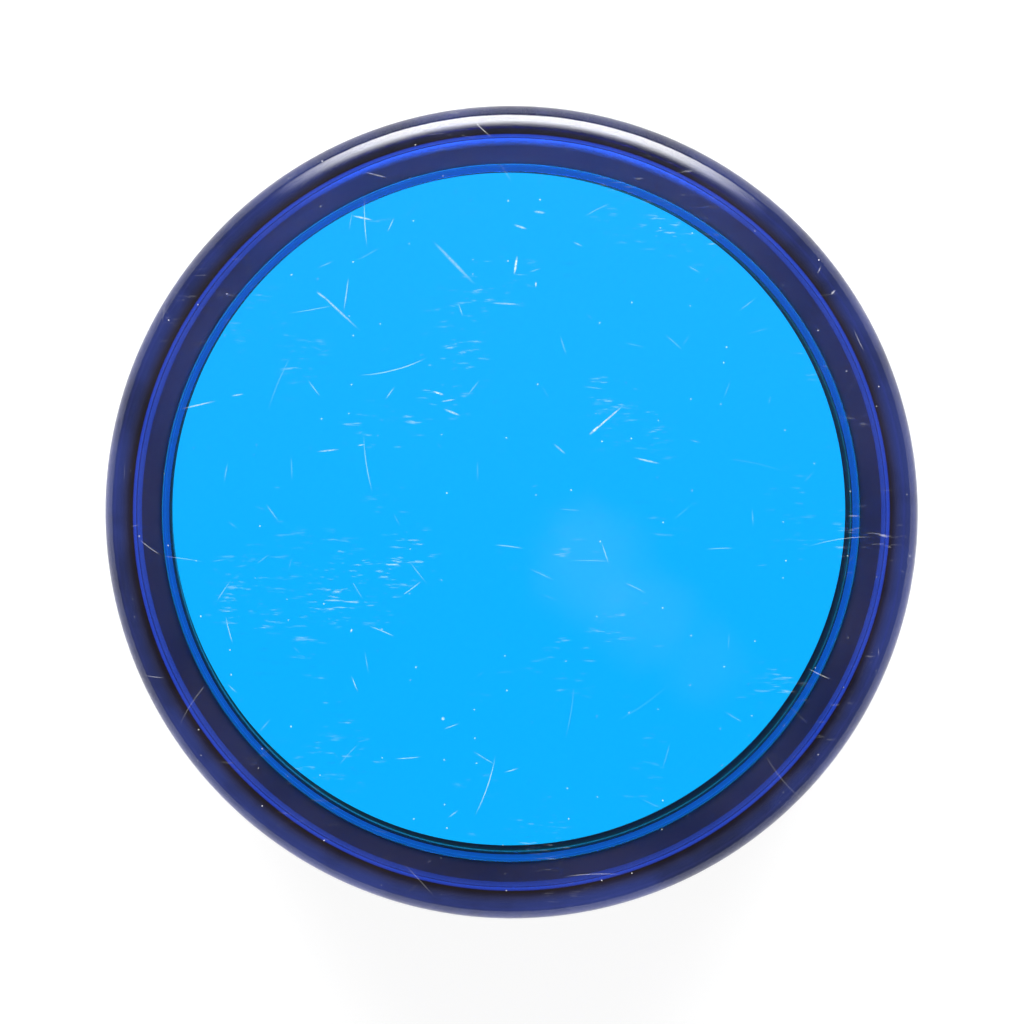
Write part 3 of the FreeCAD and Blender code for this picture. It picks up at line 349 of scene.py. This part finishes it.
def add_coil(shape, centre, radius, wire, low, high, turns):
    """A compression spring about an upright axis, with a closed turn at each end."""
    bottom = low + wire
    rise = high - low - 2 * wire
    steps = round(turns * COIL_STEPS_PER_TURN)
    dead = 1.0 / turns
    rings = []
    for step in range(steps + 1):
        share = step / steps
        angle = 2 * math.pi * turns * share
        climb = min(max((share - dead) / (1 - 2 * dead), 0.0), 1.0)
        closed_rise = 2 * wire * (min(share / dead, 1.0) + min(max((share - 1 + dead) / dead, 0.0), 1.0))
        height = bottom + closed_rise + climb * (rise - 4 * wire)
        outward = Vector((math.cos(angle), math.sin(angle), 0.0))
        middle = Vector((centre[0], centre[1], height)) + outward * radius
        ring = []
        for side in range(WIRE_SIDES):
            around = 2 * math.pi * side / WIRE_SIDES
            ring.append(shape.verts.new(middle + outward * wire * math.cos(around)
                                        + Vector((0, 0, wire * math.sin(around)))))
        rings.append(ring)
    for near, far in zip(rings, rings[1:]):
        join_rings(shape, near, far)
    shape.faces.new(rings[0])
    shape.faces.new(rings[-1])


# ---------------------------------------------------------------- marks on the cap


# The plainest marks on the top face: middle x, y, length, direction in degrees, width (mm) and strength.
STROKES = [
    (10.7, 10.4, 5.2, 41, 0.26, 0.75),
    (9.4, 9.3, 1.9, 41, 0.34, 0.80),
    (15.1, 5.9, 3.2, -13, 0.26, 0.45),
    (0.7, 27.3, 2.3, 81, 0.34, 0.85),
    (2.9, 25.2, 0.7, 88, 0.24, 0.60),
    (1.2, 31.5, 1.7, -18, 0.30, 0.50),
    (3.3, 33.1, 1.5, -8, 0.34, 0.35),
    (-17.9, 24.2, 4.2, 82, 0.16, 0.50),
    (-18.8, 22.4, 7.0, -43, 0.30, 0.38),
    (-20.6, 24.0, 1.6, -35, 0.30, 0.45),
    (-16.1, 32.5, 2.6, -12, 0.26, 0.60),
    (-34.2, 12.0, 4.4, 13, 0.18, 0.55),
    (-29.9, 13.1, 1.5, 9, 0.22, 0.42),
    (-6.1, 27.6, 7.4, -46, 0.46, 0.26),
    (-0.4, 23.1, 3.6, -3, 0.24, 0.36),
    (-7.8, 13.3, 1.5, -18, 0.28, 0.62),
    (-6.7, 12.5, 1.8, 9, 0.20, 0.50),
    (-6.3, 11.2, 2.2, -22, 0.32, 0.46),
    (-19.9, 7.0, 2.7, 6, 0.22, 0.46),
    (-16.3, 7.6, 0.9, 12, 0.20, 0.46),
    (5.5, 7.2, 1.9, -41, 0.24, 0.40),
    (7.5, 29.6, 1.3, -24, 0.20, 0.34),
    (-14.6, 37.2, 3.0, -14, 0.20, 0.40),
    (35.4, 24.3, 0.8, 46, 0.24, 0.80),
    (33.9, 26.8, 1.1, 66, 0.14, 0.42),
    (-7.3, -22.5, 0.5, 0, 0.42, 0.80),
    (-17.4, -12.8, 0.5, 75, 0.22, 0.75),
]


STROKE_STRENGTH = 0.70
HAIR_STRENGTH = 0.45
HAIR_WIDTH = 0.050 * MM
HAIR_SHARE = 0.55
# cell, length and seed of each layer of hairs
HAIR_LAYERS = [(4.6 * MM, 1.7 * MM, 1.0), (9.0 * MM, 4.2 * MM, 4.0)]
# direction in degrees and seed of each layer of scuffs
SCUFF_LAYERS = [(24.0, 3.0), (-52.0, 11.0)]
DUST_STRENGTH = 0.45
SCUFF_STRENGTH = 0.40


def stroke(nodes, place, height, mark):
    """One soft-ended mark: a stretched spherical gradient."""
    across, along, length, direction, width, strength = mark
    node = nodes.new("ShaderNodeMapping", {"vector_type": "TEXTURE"}, Vector=place,
                     Location=(across * MM, along * MM, height),
                     Rotation=(0.0, 0.0, math.radians(direction)),
                     Scale=(length / 2 * MM, width / 2 * MM, 10 * MM))
    ball = nodes.new("ShaderNodeTexGradient", {"gradient_type": "SPHERICAL"}, Vector=node.outputs[0])
    return nodes.ramp(ball.outputs["Fac"], 0.0, 0.75, 0.0, strength)


def hairs(nodes, place, cell, length, width, seed, share):
    """Short hairline scratches, one to a cell at most, each with its own direction, length and strength."""
    spots = nodes.new("ShaderNodeMapping", Vector=place, Location=(seed * 0.37, seed * 0.61, 0.0),
                      Scale=(1.0, 1.0, 0.0))
    cells = nodes.new("ShaderNodeTexVoronoi", {"voronoi_dimensions": "2D"}, Vector=spots.outputs[0],
                      Scale=1.0 / cell, Randomness=0.9)
    local = nodes.new("ShaderNodeVectorMath", {"operation": "SUBTRACT"})
    nodes.feed(local, "0", spots.outputs[0])
    nodes.feed(local, "1", cells.outputs["Position"])
    x, y, _ = nodes.split(local.outputs[0])
    chance = nodes.new("ShaderNodeSeparateColor", Color=cells.outputs["Color"])
    angle = nodes.product(chance.outputs["Red"], 2 * math.pi)
    cosine = nodes.math("COSINE", angle)
    sine = nodes.math("SINE", angle)
    along = nodes.total(nodes.product(x, cosine), nodes.product(y, sine))
    across = nodes.math("SUBTRACT", nodes.product(x, sine), nodes.product(y, cosine))
    bow = nodes.product(nodes.math("SUBTRACT", chance.outputs["Green"], 0.5), 60.0)
    bowed = nodes.total(across, nodes.product(along, along, bow))
    reach = nodes.product(chance.outputs["Green"], length)
    in_length = nodes.ramp(nodes.math("SUBTRACT", reach, nodes.math("ABSOLUTE", along)), 0.0, length * 0.6)
    in_width = nodes.ramp(nodes.math("ABSOLUTE", bowed), width, width * 0.2)
    strength = nodes.ramp(chance.outputs["Blue"], 1.0 - share, 1.0)
    return nodes.product(in_length, in_width, strength)


def specks(nodes, place, cell, radius, share, dimensions="3D"):
    """Dust: round dots of many sizes, none in most cells. 2D dots lie on a level face."""
    dots = nodes.new("ShaderNodeTexVoronoi", {"voronoi_dimensions": dimensions}, Vector=place,
                     Scale=1.0 / cell, Randomness=1.0)
    chance = nodes.new("ShaderNodeSeparateColor", Color=dots.outputs["Color"])
    size = nodes.ramp(chance.outputs["Red"], 1.0 - share, 1.0, 0.0, radius / cell)
    return nodes.ramp(nodes.math("SUBTRACT", size, dots.outputs["Distance"]), 0.0, radius / cell * 0.5)


def scuffs(nodes, place, turn_deg, seed):
    """Faint rubbed streaks in patches."""
    moved = nodes.stretched(place, (420.0, 2600.0, 420.0), turn_deg)
    streaks = nodes.ramp(nodes.noise(moved, 1.0, 3.0, 0.65), 0.60, 0.78)
    broad = nodes.stretched(place, (70.0, 70.0, 70.0 + seed))
    patches = nodes.ramp(nodes.noise(broad, 1.0, 2.0), 0.52, 0.72)
    return nodes.product(streaks, patches)


def cap_marks(nodes, place, top):
    """All the wear on the clear cap, as one mask."""
    drawn = nodes.strongest([stroke(nodes, place, top, mark) for mark in STROKES])
    grain = nodes.ramp(nodes.noise(place, 3800.0, 2.0), 0.30, 0.62, 0.35, 1.0)
    hair = nodes.strongest([hairs(nodes, place, cell, length, HAIR_WIDTH, seed, HAIR_SHARE)
                            for cell, length, seed in HAIR_LAYERS])
    _, _, z = nodes.split(place)
    on_top = nodes.ramp(z, top - 2.6 * MM, top - 1.6 * MM)
    rubbed = nodes.strongest([scuffs(nodes, place, turn_deg, seed) for turn_deg, seed in SCUFF_LAYERS])
    busy = nodes.ramp(nodes.noise(place, 48.0, 2.0), 0.38, 0.62, 0.25, 1.0)
    dust = specks(nodes, place, 3.4 * MM, 0.10 * MM, 0.55, "2D")
    loose = nodes.strongest([nodes.product(hair, busy, HAIR_STRENGTH), nodes.product(dust, DUST_STRENGTH)])
    return nodes.strongest([nodes.product(drawn, grain, STROKE_STRENGTH), nodes.product(loose, on_top),
                            nodes.product(rubbed, busy, SCUFF_STRENGTH)])


# ---------------------------------------------------------------- clear plastic, disc


EDGE_ROUND = 3.2 * MM
INNER_ROUND = 1.8 * MM
SKIRT_WALL = 3.0 * MM
RIM_ROUND = 0.5 * MM
COLLAR_OUTER = 38.4 * MM
COLLAR_WALL = 0.7 * MM
COLLAR_DEPTH = 3.0 * MM
SMALL_ROUND = 0.08 * MM
COLLAR_ROOT_ROUND = 0.15 * MM
AIR_GAP = 0.04 * MM
CLEAR_TINT = (0.0, 0.38, 0.81, 1.0)
CLEAR_DENSITY = 760.0
# painted glow of the cyan disc, which is no lamp; its colour also tints the painted glow at the collar
DISC_PAINTED_GLOW = (0.0, 1.0, 0.72, 1.0)
DISC_PAINTED_GLOW_STRENGTH = 1.5
# painted glow on the clear cap: bright at the collar's matt end, faint on the ring, blue at the rim
COLLAR_PAINTED_GLOW_STRENGTH = 1.15
RING_PAINTED_GLOW = (0.014, 0.010, 0.011, 1.0)
RIM_PAINTED_GLOW = (0.014, 0.026, 0.140, 1.0)


def reach_and_height(nodes, place):
    """A point's distance from the buzzer's axis, and its height."""
    x, y, z = nodes.split(place)
    return nodes.math("SQRT", nodes.total(nodes.product(x, x), nodes.product(y, y))), z


def collar_frost_and_painted_glow(nodes, place):
    """The collar's lower end is left matt by its mould; the same mask places a painted glow there in place
    of the disc's light.
    """
    reach, z = reach_and_height(nodes, place)
    inside = nodes.math("LESS_THAN", reach, COLLAR_OUTER + 0.05 * MM)
    collar_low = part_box("diffuser_disc")[1].z - COLLAR_DEPTH
    return nodes.product(inside, nodes.ramp(z, collar_low + 0.5 * MM, collar_low + 0.1 * MM, 0.0, 0.9))


def cap_painted_glow(nodes, place, frost_and_glow_mask):
    """Painted glow in place of light let out of the plastic: bright at the collar's matt end, blue at the
    rim, faint on the ring.
    """
    reach, z = reach_and_height(nodes, place)
    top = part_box("push_cap")[1].z
    painted_rim_mask = nodes.ramp(reach, 41.5 * MM, 43.2 * MM)
    upper = nodes.ramp(z, top - 1.4 * EDGE_ROUND, top - 0.5 * EDGE_ROUND)
    cloudy = nodes.ramp(nodes.noise(place, 85.0, 4.0, 0.6), 0.30, 0.70, 0.45, 1.35)
    painted_ring_mask = nodes.product(nodes.ramp(reach, COLLAR_OUTER, COLLAR_OUTER + 0.5 * MM), upper, cloudy)
    soft = nodes.mix(painted_rim_mask, RING_PAINTED_GLOW, RIM_PAINTED_GLOW)
    collar = tuple(COLLAR_PAINTED_GLOW_STRENGTH * part for part in DISC_PAINTED_GLOW[:3]) + (1.0,)
    return nodes.mix(frost_and_glow_mask, soft, collar), nodes.math("MAXIMUM", painted_ring_mask, frost_and_glow_mask)


def clear_blue():
    """Polished transparent blue plastic with worn-in scratches, scuffs and dust, and a painted glow at the
    collar, ring and rim.
    """
    material, nodes = new_material("clear_blue_plastic")
    place = nodes.place()
    marks = cap_marks(nodes, place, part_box("push_cap")[1].z)
    frost_and_glow_mask = collar_frost_and_painted_glow(nodes, place)
    # painted glow at the collar's matt end, on the ring and at the rim, standing in for light let out of the
    # plastic
    painted_glow_colour, glow = cap_painted_glow(nodes, place, frost_and_glow_mask)
    clear = nodes.math("SUBTRACT", 1.0, nodes.math("MAXIMUM", nodes.product(marks, 0.75), frost_and_glow_mask))
    haze = nodes.ramp(nodes.noise(place, 90.0, 3.0), 0.45, 0.75, 0.02, 0.05)
    rough = nodes.total(haze, nodes.product(marks, 0.35))
    shader = nodes.new("ShaderNodeBsdfPrincipled", Base_Color=grey(1.0), Roughness=rough, IOR=1.49,
                       Transmission_Weight=clear, Emission_Color=painted_glow_colour, Emission_Strength=glow)
    absorb = nodes.new("ShaderNodeVolumeAbsorption", Color=CLEAR_TINT, Density=CLEAR_DENSITY)
    nodes.finish(shader, absorb)
    return material


def cyan_disc():
    """Translucent cyan plastic, faintly cloudy, with a painted glow of fixed strength in place of the light
    falling through it.
    """
    material, nodes = new_material("cyan_disc_plastic")
    place = nodes.place()
    cloud = nodes.ramp(nodes.noise(place, 22.0, 2.0), 0.3, 0.7)
    colour = nodes.mix(cloud, (0.0, 0.62, 0.95, 1.0), (0.01, 0.66, 1.0, 1.0))
    grain = nodes.noise(place, 2400.0, 2.0)
    # the emission is a painted glow standing in for light that comes through the cap
    nodes.finish(nodes.new("ShaderNodeBsdfPrincipled", Base_Color=colour, Roughness=0.45,
                           Emission_Color=DISC_PAINTED_GLOW, Emission_Strength=DISC_PAINTED_GLOW_STRENGTH,
                           Normal=nodes.bump(grain, 0.06, 0.02 * MM)))
    return material


# ---------------------------------------------------------------- plain plastics and metals


def moulded(name, colour, rough=0.5, grain_scale=1500.0, grain=0.12, change=0.25):
    """Moulded plastic: spark-eroded grain, faint cloudiness, slightly worn gloss."""
    material, nodes = new_material(name)
    place = nodes.place()
    cloud = nodes.ramp(nodes.noise(place, 60.0, 4.0), 0.3, 0.7)
    darker = tuple(channel * (1.0 - change) for channel in colour) + (1.0,)
    tint = nodes.mix(cloud, darker, tuple(colour) + (1.0,))
    fine = nodes.noise(place, grain_scale, 3.0, 0.6)
    wear = nodes.ramp(nodes.noise(place, 240.0, 3.0), 0.35, 0.7, rough - 0.07, rough + 0.07)
    nodes.finish(nodes.new("ShaderNodeBsdfPrincipled", Base_Color=tint, Roughness=wear,
                           Normal=nodes.bump(fine, grain, 0.03 * MM)))
    return material


def metal(name, colour, rough=0.32, streaks=(900.0, 900.0, 60.0)):
    """Plated metal with fine drawn streaks and a little tarnish."""
    material, nodes = new_material(name)
    place = nodes.place()
    streak = nodes.noise(nodes.stretched(place, streaks), 1.0, 3.0)
    tarnish = nodes.ramp(nodes.noise(place, 300.0, 4.0), 0.4, 0.75)
    dull = tuple(channel * 0.72 for channel in colour) + (1.0,)
    nodes.finish(nodes.new("ShaderNodeBsdfPrincipled", Metallic=1.0,
                           Base_Color=nodes.mix(tarnish, tuple(colour) + (1.0,), dull),
                           Roughness=nodes.ramp(streak, 0.3, 0.7, rough - 0.08, rough + 0.1),
                           Normal=nodes.bump(streak, 0.08, 0.02 * MM)))
    return material


def black_shell():
    """The base's matt black moulding: fine grain, rubbed paler in patches, with dust in the grain."""
    material, nodes = new_material("black_shell_plastic")
    place = nodes.place()
    rubbed = nodes.ramp(nodes.noise(place, 75.0, 5.0, 0.6), 0.48, 0.72)
    colour = nodes.mix(rubbed, (0.014, 0.014, 0.016, 1.0), (0.032, 0.032, 0.036, 1.0))
    dust = nodes.product(specks(nodes, place, 2.6 * MM, 0.08 * MM, 0.25), 0.5)
    fine = nodes.noise(place, 3200.0, 2.0, 0.5)
    nodes.finish(nodes.new("ShaderNodeBsdfPrincipled", Base_Color=nodes.mix(dust, colour, grey(0.3)),
                           Roughness=nodes.ramp(rubbed, 0.0, 1.0, 0.52, 0.38),
                           Normal=nodes.bump(fine, 0.04, 0.02 * MM)))
    return material


def solder_mask():
    """A green circuit board: copper tracks showing through the mask, tinned dots and a tan cut edge."""
    material, nodes = new_material("solder_mask")
    place = nodes.place()
    tracks = nodes.new("ShaderNodeTexBrick", {"offset": 0.37, "squash": 1.0}, Vector=place, Scale=260.0,
                       Color1=grey(0.0), Color2=grey(0.0), Mortar=grey(1.0), Mortar_Size=0.045,
                       Mortar_Smooth=0.2)
    mask = nodes.new("ShaderNodeSeparateColor", Color=tracks.outputs["Color"]).outputs["Red"]
    green = nodes.mix(mask, (0.008, 0.105, 0.036, 1.0), (0.022, 0.21, 0.075, 1.0))
    holes = nodes.new("ShaderNodeTexVoronoi", Vector=place, Scale=210.0, Randomness=0.7)
    dots = nodes.ramp(holes.outputs["Distance"], 0.14, 0.11)
    reach, _ = reach_and_height(nodes, place)
    board_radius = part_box("circuit_board")[1].x
    edge = nodes.ramp(reach, board_radius - 0.10 * MM, board_radius - 0.04 * MM)
    colour = nodes.mix(edge, nodes.mix(dots, green, (0.62, 0.62, 0.60, 1.0)), (0.42, 0.36, 0.20, 1.0))
    nodes.finish(nodes.new("ShaderNodeBsdfPrincipled", Base_Color=colour, Metallic=nodes.product(dots, 0.9),
                           Roughness=nodes.ramp(edge, 0.0, 1.0, 0.26, 0.7),
                           Normal=nodes.bump(nodes.total(mask, dots), 0.4, 0.03 * MM)))
    return material


def cell_wrap():
    """Battery cells lying along X: dark film, a copper-coloured band at one end and bare steel ends."""
    material, nodes = new_material("cell_wrap_film")
    low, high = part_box("battery_cells")
    middle_y = (low.y + high.y) / 2
    x, y, _ = nodes.split(nodes.place())
    sign = nodes.ramp(y, middle_y - 1 * MM, middle_y + 1 * MM, -1.0, 1.0)
    along = nodes.product(x, sign)
    copper = nodes.ramp(along, 8.0 * MM, 8.3 * MM)
    line = nodes.product(nodes.ramp(along, 6.6 * MM, 6.8 * MM), nodes.ramp(along, 7.4 * MM, 7.2 * MM))
    film = nodes.mix(copper, (0.018, 0.018, 0.022, 1.0), (0.62, 0.28, 0.08, 1.0))
    film = nodes.mix(line, film, (0.75, 0.75, 0.72, 1.0))
    end = nodes.ramp(nodes.math("ABSOLUTE", x), high.x - 1.5 * MM, high.x - 1.2 * MM)
    grain = nodes.noise(nodes.place(), 900.0, 3.0)
    nodes.finish(nodes.new("ShaderNodeBsdfPrincipled",
                           Base_Color=nodes.mix(end, film, (0.66, 0.66, 0.67, 1.0)),
                           Metallic=nodes.ramp(end, 0.0, 1.0, 0.35, 1.0),
                           Roughness=nodes.ramp(grain, 0.3, 0.7, 0.20, 0.32),
                           Normal=nodes.bump(grain, 0.08, 0.02 * MM)))
    return material


def led_lens():
    """Water-clear epoxy with a faint haze."""
    material, nodes = new_material("led_lens")
    haze = nodes.ramp(nodes.noise(nodes.place(), 400.0, 3.0), 0.4, 0.7, 0.04, 0.14)
    nodes.finish(nodes.new("ShaderNodeBsdfPrincipled", Base_Color=(0.90, 0.95, 1.0, 1.0), Roughness=haze,
                           IOR=1.52, Transmission_Weight=0.9))
    return material


def speaker_film():
    """Dark plastic film, pressed into fine rings about its middle."""
    material, nodes = new_material("speaker_film_skin")
    low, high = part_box("speaker_cone")
    middle = (low + high) / 2
    place = nodes.new("ShaderNodeMapping", Vector=nodes.place(), Location=(-middle.x, -middle.y, 0.0))
    rings = nodes.new("ShaderNodeTexWave", {"wave_type": "RINGS", "rings_direction": "Z"},
                      Vector=place.outputs[0], Scale=400.0, Distortion=0.0)
    cloud = nodes.ramp(nodes.noise(nodes.place(), 300.0, 3.0), 0.3, 0.7)
    nodes.finish(nodes.new("ShaderNodeBsdfPrincipled", Roughness=nodes.ramp(cloud, 0.0, 1.0, 0.26, 0.40),
                           Base_Color=nodes.mix(cloud, (0.05, 0.04, 0.03, 1.0), (0.09, 0.075, 0.055, 1.0)),
                           Normal=nodes.bump(rings.outputs["Fac"], 0.5, 0.06 * MM)))
    return material


def finish_of_slots():
    """One material for each of the record's material slots."""
    return {
        "clear_blue": clear_blue(),
        "cyan_disc": cyan_disc(),
        "black_shell": black_shell(),
        "zinc_screw": metal("zinc_plated_steel", (0.66, 0.67, 0.69)),
        "carbon": moulded("carbon_rubber", (0.03, 0.03, 0.03), 0.7),
        "black_rubber": moulded("black_rubber_foot", (0.022, 0.022, 0.024), 0.78, 900.0, 0.3),
        "spring_steel": metal("spring_wire", (0.6, 0.6, 0.62), 0.28),
        "silicone": moulded("silicone_rubber", (0.55, 0.57, 0.6), 0.55),
        "green_board": solder_mask(),
        "black_epoxy": moulded("black_epoxy_resin", (0.02, 0.02, 0.022), 0.22),
        "clear_led": led_lens(),
        "tan_ceramic": moulded("tan_ceramic_body", (0.5, 0.36, 0.2), 0.4),
        "capacitor_sleeve": moulded("shrink_sleeve", (0.02, 0.03, 0.11), 0.3),
        "speaker_steel": metal("speaker_plating", (0.58, 0.58, 0.6), 0.36),
        "speaker_film": speaker_film(),
        "cell_wrap": cell_wrap(),
        "nickel_contact": metal("nickel_plating", (0.75, 0.72, 0.66), 0.22),
        "grey_foam": moulded("foam_pad", (0.16, 0.16, 0.17), 0.9, 1200.0, 0.6),
        "switch_plastic": moulded("switch_knob_plastic", (0.42, 0.43, 0.45), 0.5),
        "lead_jacket": moulded("lead_jacket_vinyl", (0.42, 0.02, 0.02), 0.4),
    }


def dress_nodes(finishes):
    """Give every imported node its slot's material; the carrier is a browner black than the base."""
    carrier = moulded("carrier_plastic", (0.26, 0.21, 0.20), 0.6)
    for part in frame["record"]["subparts"]:
        node = frame["nodes"][part["node"]]
        node.data.materials.clear()
        own = carrier if part["node"] == "cap_carrier" else finishes[part["material_slot"]]
        node.data.materials.append(own)


# ---------------------------------------------------------------- pieces that stand for nodes


def stand_in(piece, finishes, node, slot, body):
    piece.data.materials.append(finishes[slot])
    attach(piece, body)
    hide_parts(node)


def add_cap(finishes):
    """The clear cap: flat top, big rounded edge, skirt, and the thin collar on its underside."""
    low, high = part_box("push_cap")
    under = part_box("diffuser_disc")[1].z
    bore = high.x - SKIRT_WALL
    collar_low = under - COLLAR_DEPTH
    collar_bore = COLLAR_OUTER - COLLAR_WALL
    cap = turned("clear_cap", [
        (0.0, high.z, 0),
        (high.x, high.z, EDGE_ROUND),
        (high.x, low.z, RIM_ROUND),
        (bore, low.z, RIM_ROUND / 2),
        (bore, under, INNER_ROUND),
        (COLLAR_OUTER, under, COLLAR_ROOT_ROUND),
        (COLLAR_OUTER, collar_low, SMALL_ROUND),
        (collar_bore, collar_low, SMALL_ROUND),
        (collar_bore, under, SMALL_ROUND),
        (0.0, under, 0),
    ])
    stand_in(cap, finishes, "push_cap", "clear_blue", "button")


def add_disc(finishes):
    """The coloured disc, a hair's breadth of air under the cap."""
    low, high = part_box("diffuser_disc")
    centre = ((low.x + high.x) / 2, (low.y + high.y) / 2)
    radius = (high.x - low.x) / 2
    top = high.z - AIR_GAP
    disc = turned("cyan_insert", [(0.0, top, 0), (radius, top, SMALL_ROUND), (radius, low.z, SMALL_ROUND),
                                  (0.0, low.z, 0)], centre)
    stand_in(disc, finishes, "diffuser_disc", "cyan_disc", "button")


RETURN_COIL_TURNS = 6.5
COIL_WIRE = 0.35 * MM
GUIDE_CIRCLE = 32.5 * MM
GUIDE_START_DEG = 30.0
GUIDE_COUNT = 3


def add_return_coils(finishes):
    """The three springs round the guide pins, built at one length; the real ones shorten as the cap goes
    down.
    """
    low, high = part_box("return_springs")
    reach = high.y - GUIDE_CIRCLE * math.sin(math.radians(GUIDE_START_DEG))
    shape = bmesh.new()
    for number in range(GUIDE_COUNT):
        angle = math.radians(GUIDE_START_DEG + 360.0 / GUIDE_COUNT * number)
        centre = (GUIDE_CIRCLE * math.cos(angle), GUIDE_CIRCLE * math.sin(angle))
        add_coil(shape, centre, reach - COIL_WIRE, COIL_WIRE, low.z, high.z, RETURN_COIL_TURNS)
    coils = new_piece("return_coils", shape)
    stand_in(coils, finishes, "return_springs", "spring_steel", "base")
    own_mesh(coils)


DOME_FLANGE_THICKNESS = 0.8 * MM
DOME_ROOF_DROP = 0.9 * MM
DOME_WALL = 0.6 * MM
DOME_SKIRT_RADIUS = 5.4 * MM
DOME_ROOF_RADIUS = 3.6 * MM
DOME_CROWN_RADIUS = 3.2 * MM
DOME_SEAT_RADIUS = 2.7 * MM
DOME_INNER_ROOF_RADIUS = 3.0 * MM
DOME_INNER_SKIRT_RADIUS = 4.7 * MM
DOME_MOUTH_RADIUS = 4.9 * MM
WIDE_BEND = 0.3 * MM
SOFT_BEND = 0.25 * MM
FINE_BEND = 0.1 * MM


def add_dome(finishes):
    """The silicone contact dome, built in one shape; the real one buckles down onto the board."""
    low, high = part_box("contact_dome")
    flange = high.x
    pill_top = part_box("contact_pill")[1].z
    shoulder = low.z + DOME_FLANGE_THICKNESS
    roof = high.z - DOME_ROOF_DROP
    dome = turned("silicone_dome", [
        (flange, low.z, FINE_BEND),
        (flange, shoulder, WIDE_BEND),
        (DOME_SKIRT_RADIUS, shoulder, SOFT_BEND),
        (DOME_ROOF_RADIUS, roof, WIDE_BEND),
        (DOME_CROWN_RADIUS, high.z, SOFT_BEND),
        (0.0, high.z, 0),
        (0.0, pill_top, 0),
        (DOME_SEAT_RADIUS, pill_top, FINE_BEND),
        (DOME_INNER_ROOF_RADIUS, roof - DOME_WALL, FINE_BEND),
        (DOME_INNER_SKIRT_RADIUS, shoulder, FINE_BEND),
        (DOME_MOUTH_RADIUS, low.z, FINE_BEND / 2),
    ], steps=DOME_TURN_STEPS)
    stand_in(dome, finishes, "contact_dome", "silicone", "base")
    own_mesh(dome)


# ---------------------------------------------------------------- make everything


def main():
    bpy.context.scene.view_settings.view_transform = "Standard"
    add_camera()
    build_world()
    add_floor()
    finishes = finish_of_slots()
    dress_nodes(finishes)
    add_cap(finishes)
    add_disc(finishes)
    add_return_coils(finishes)
    add_dome(finishes)


main()
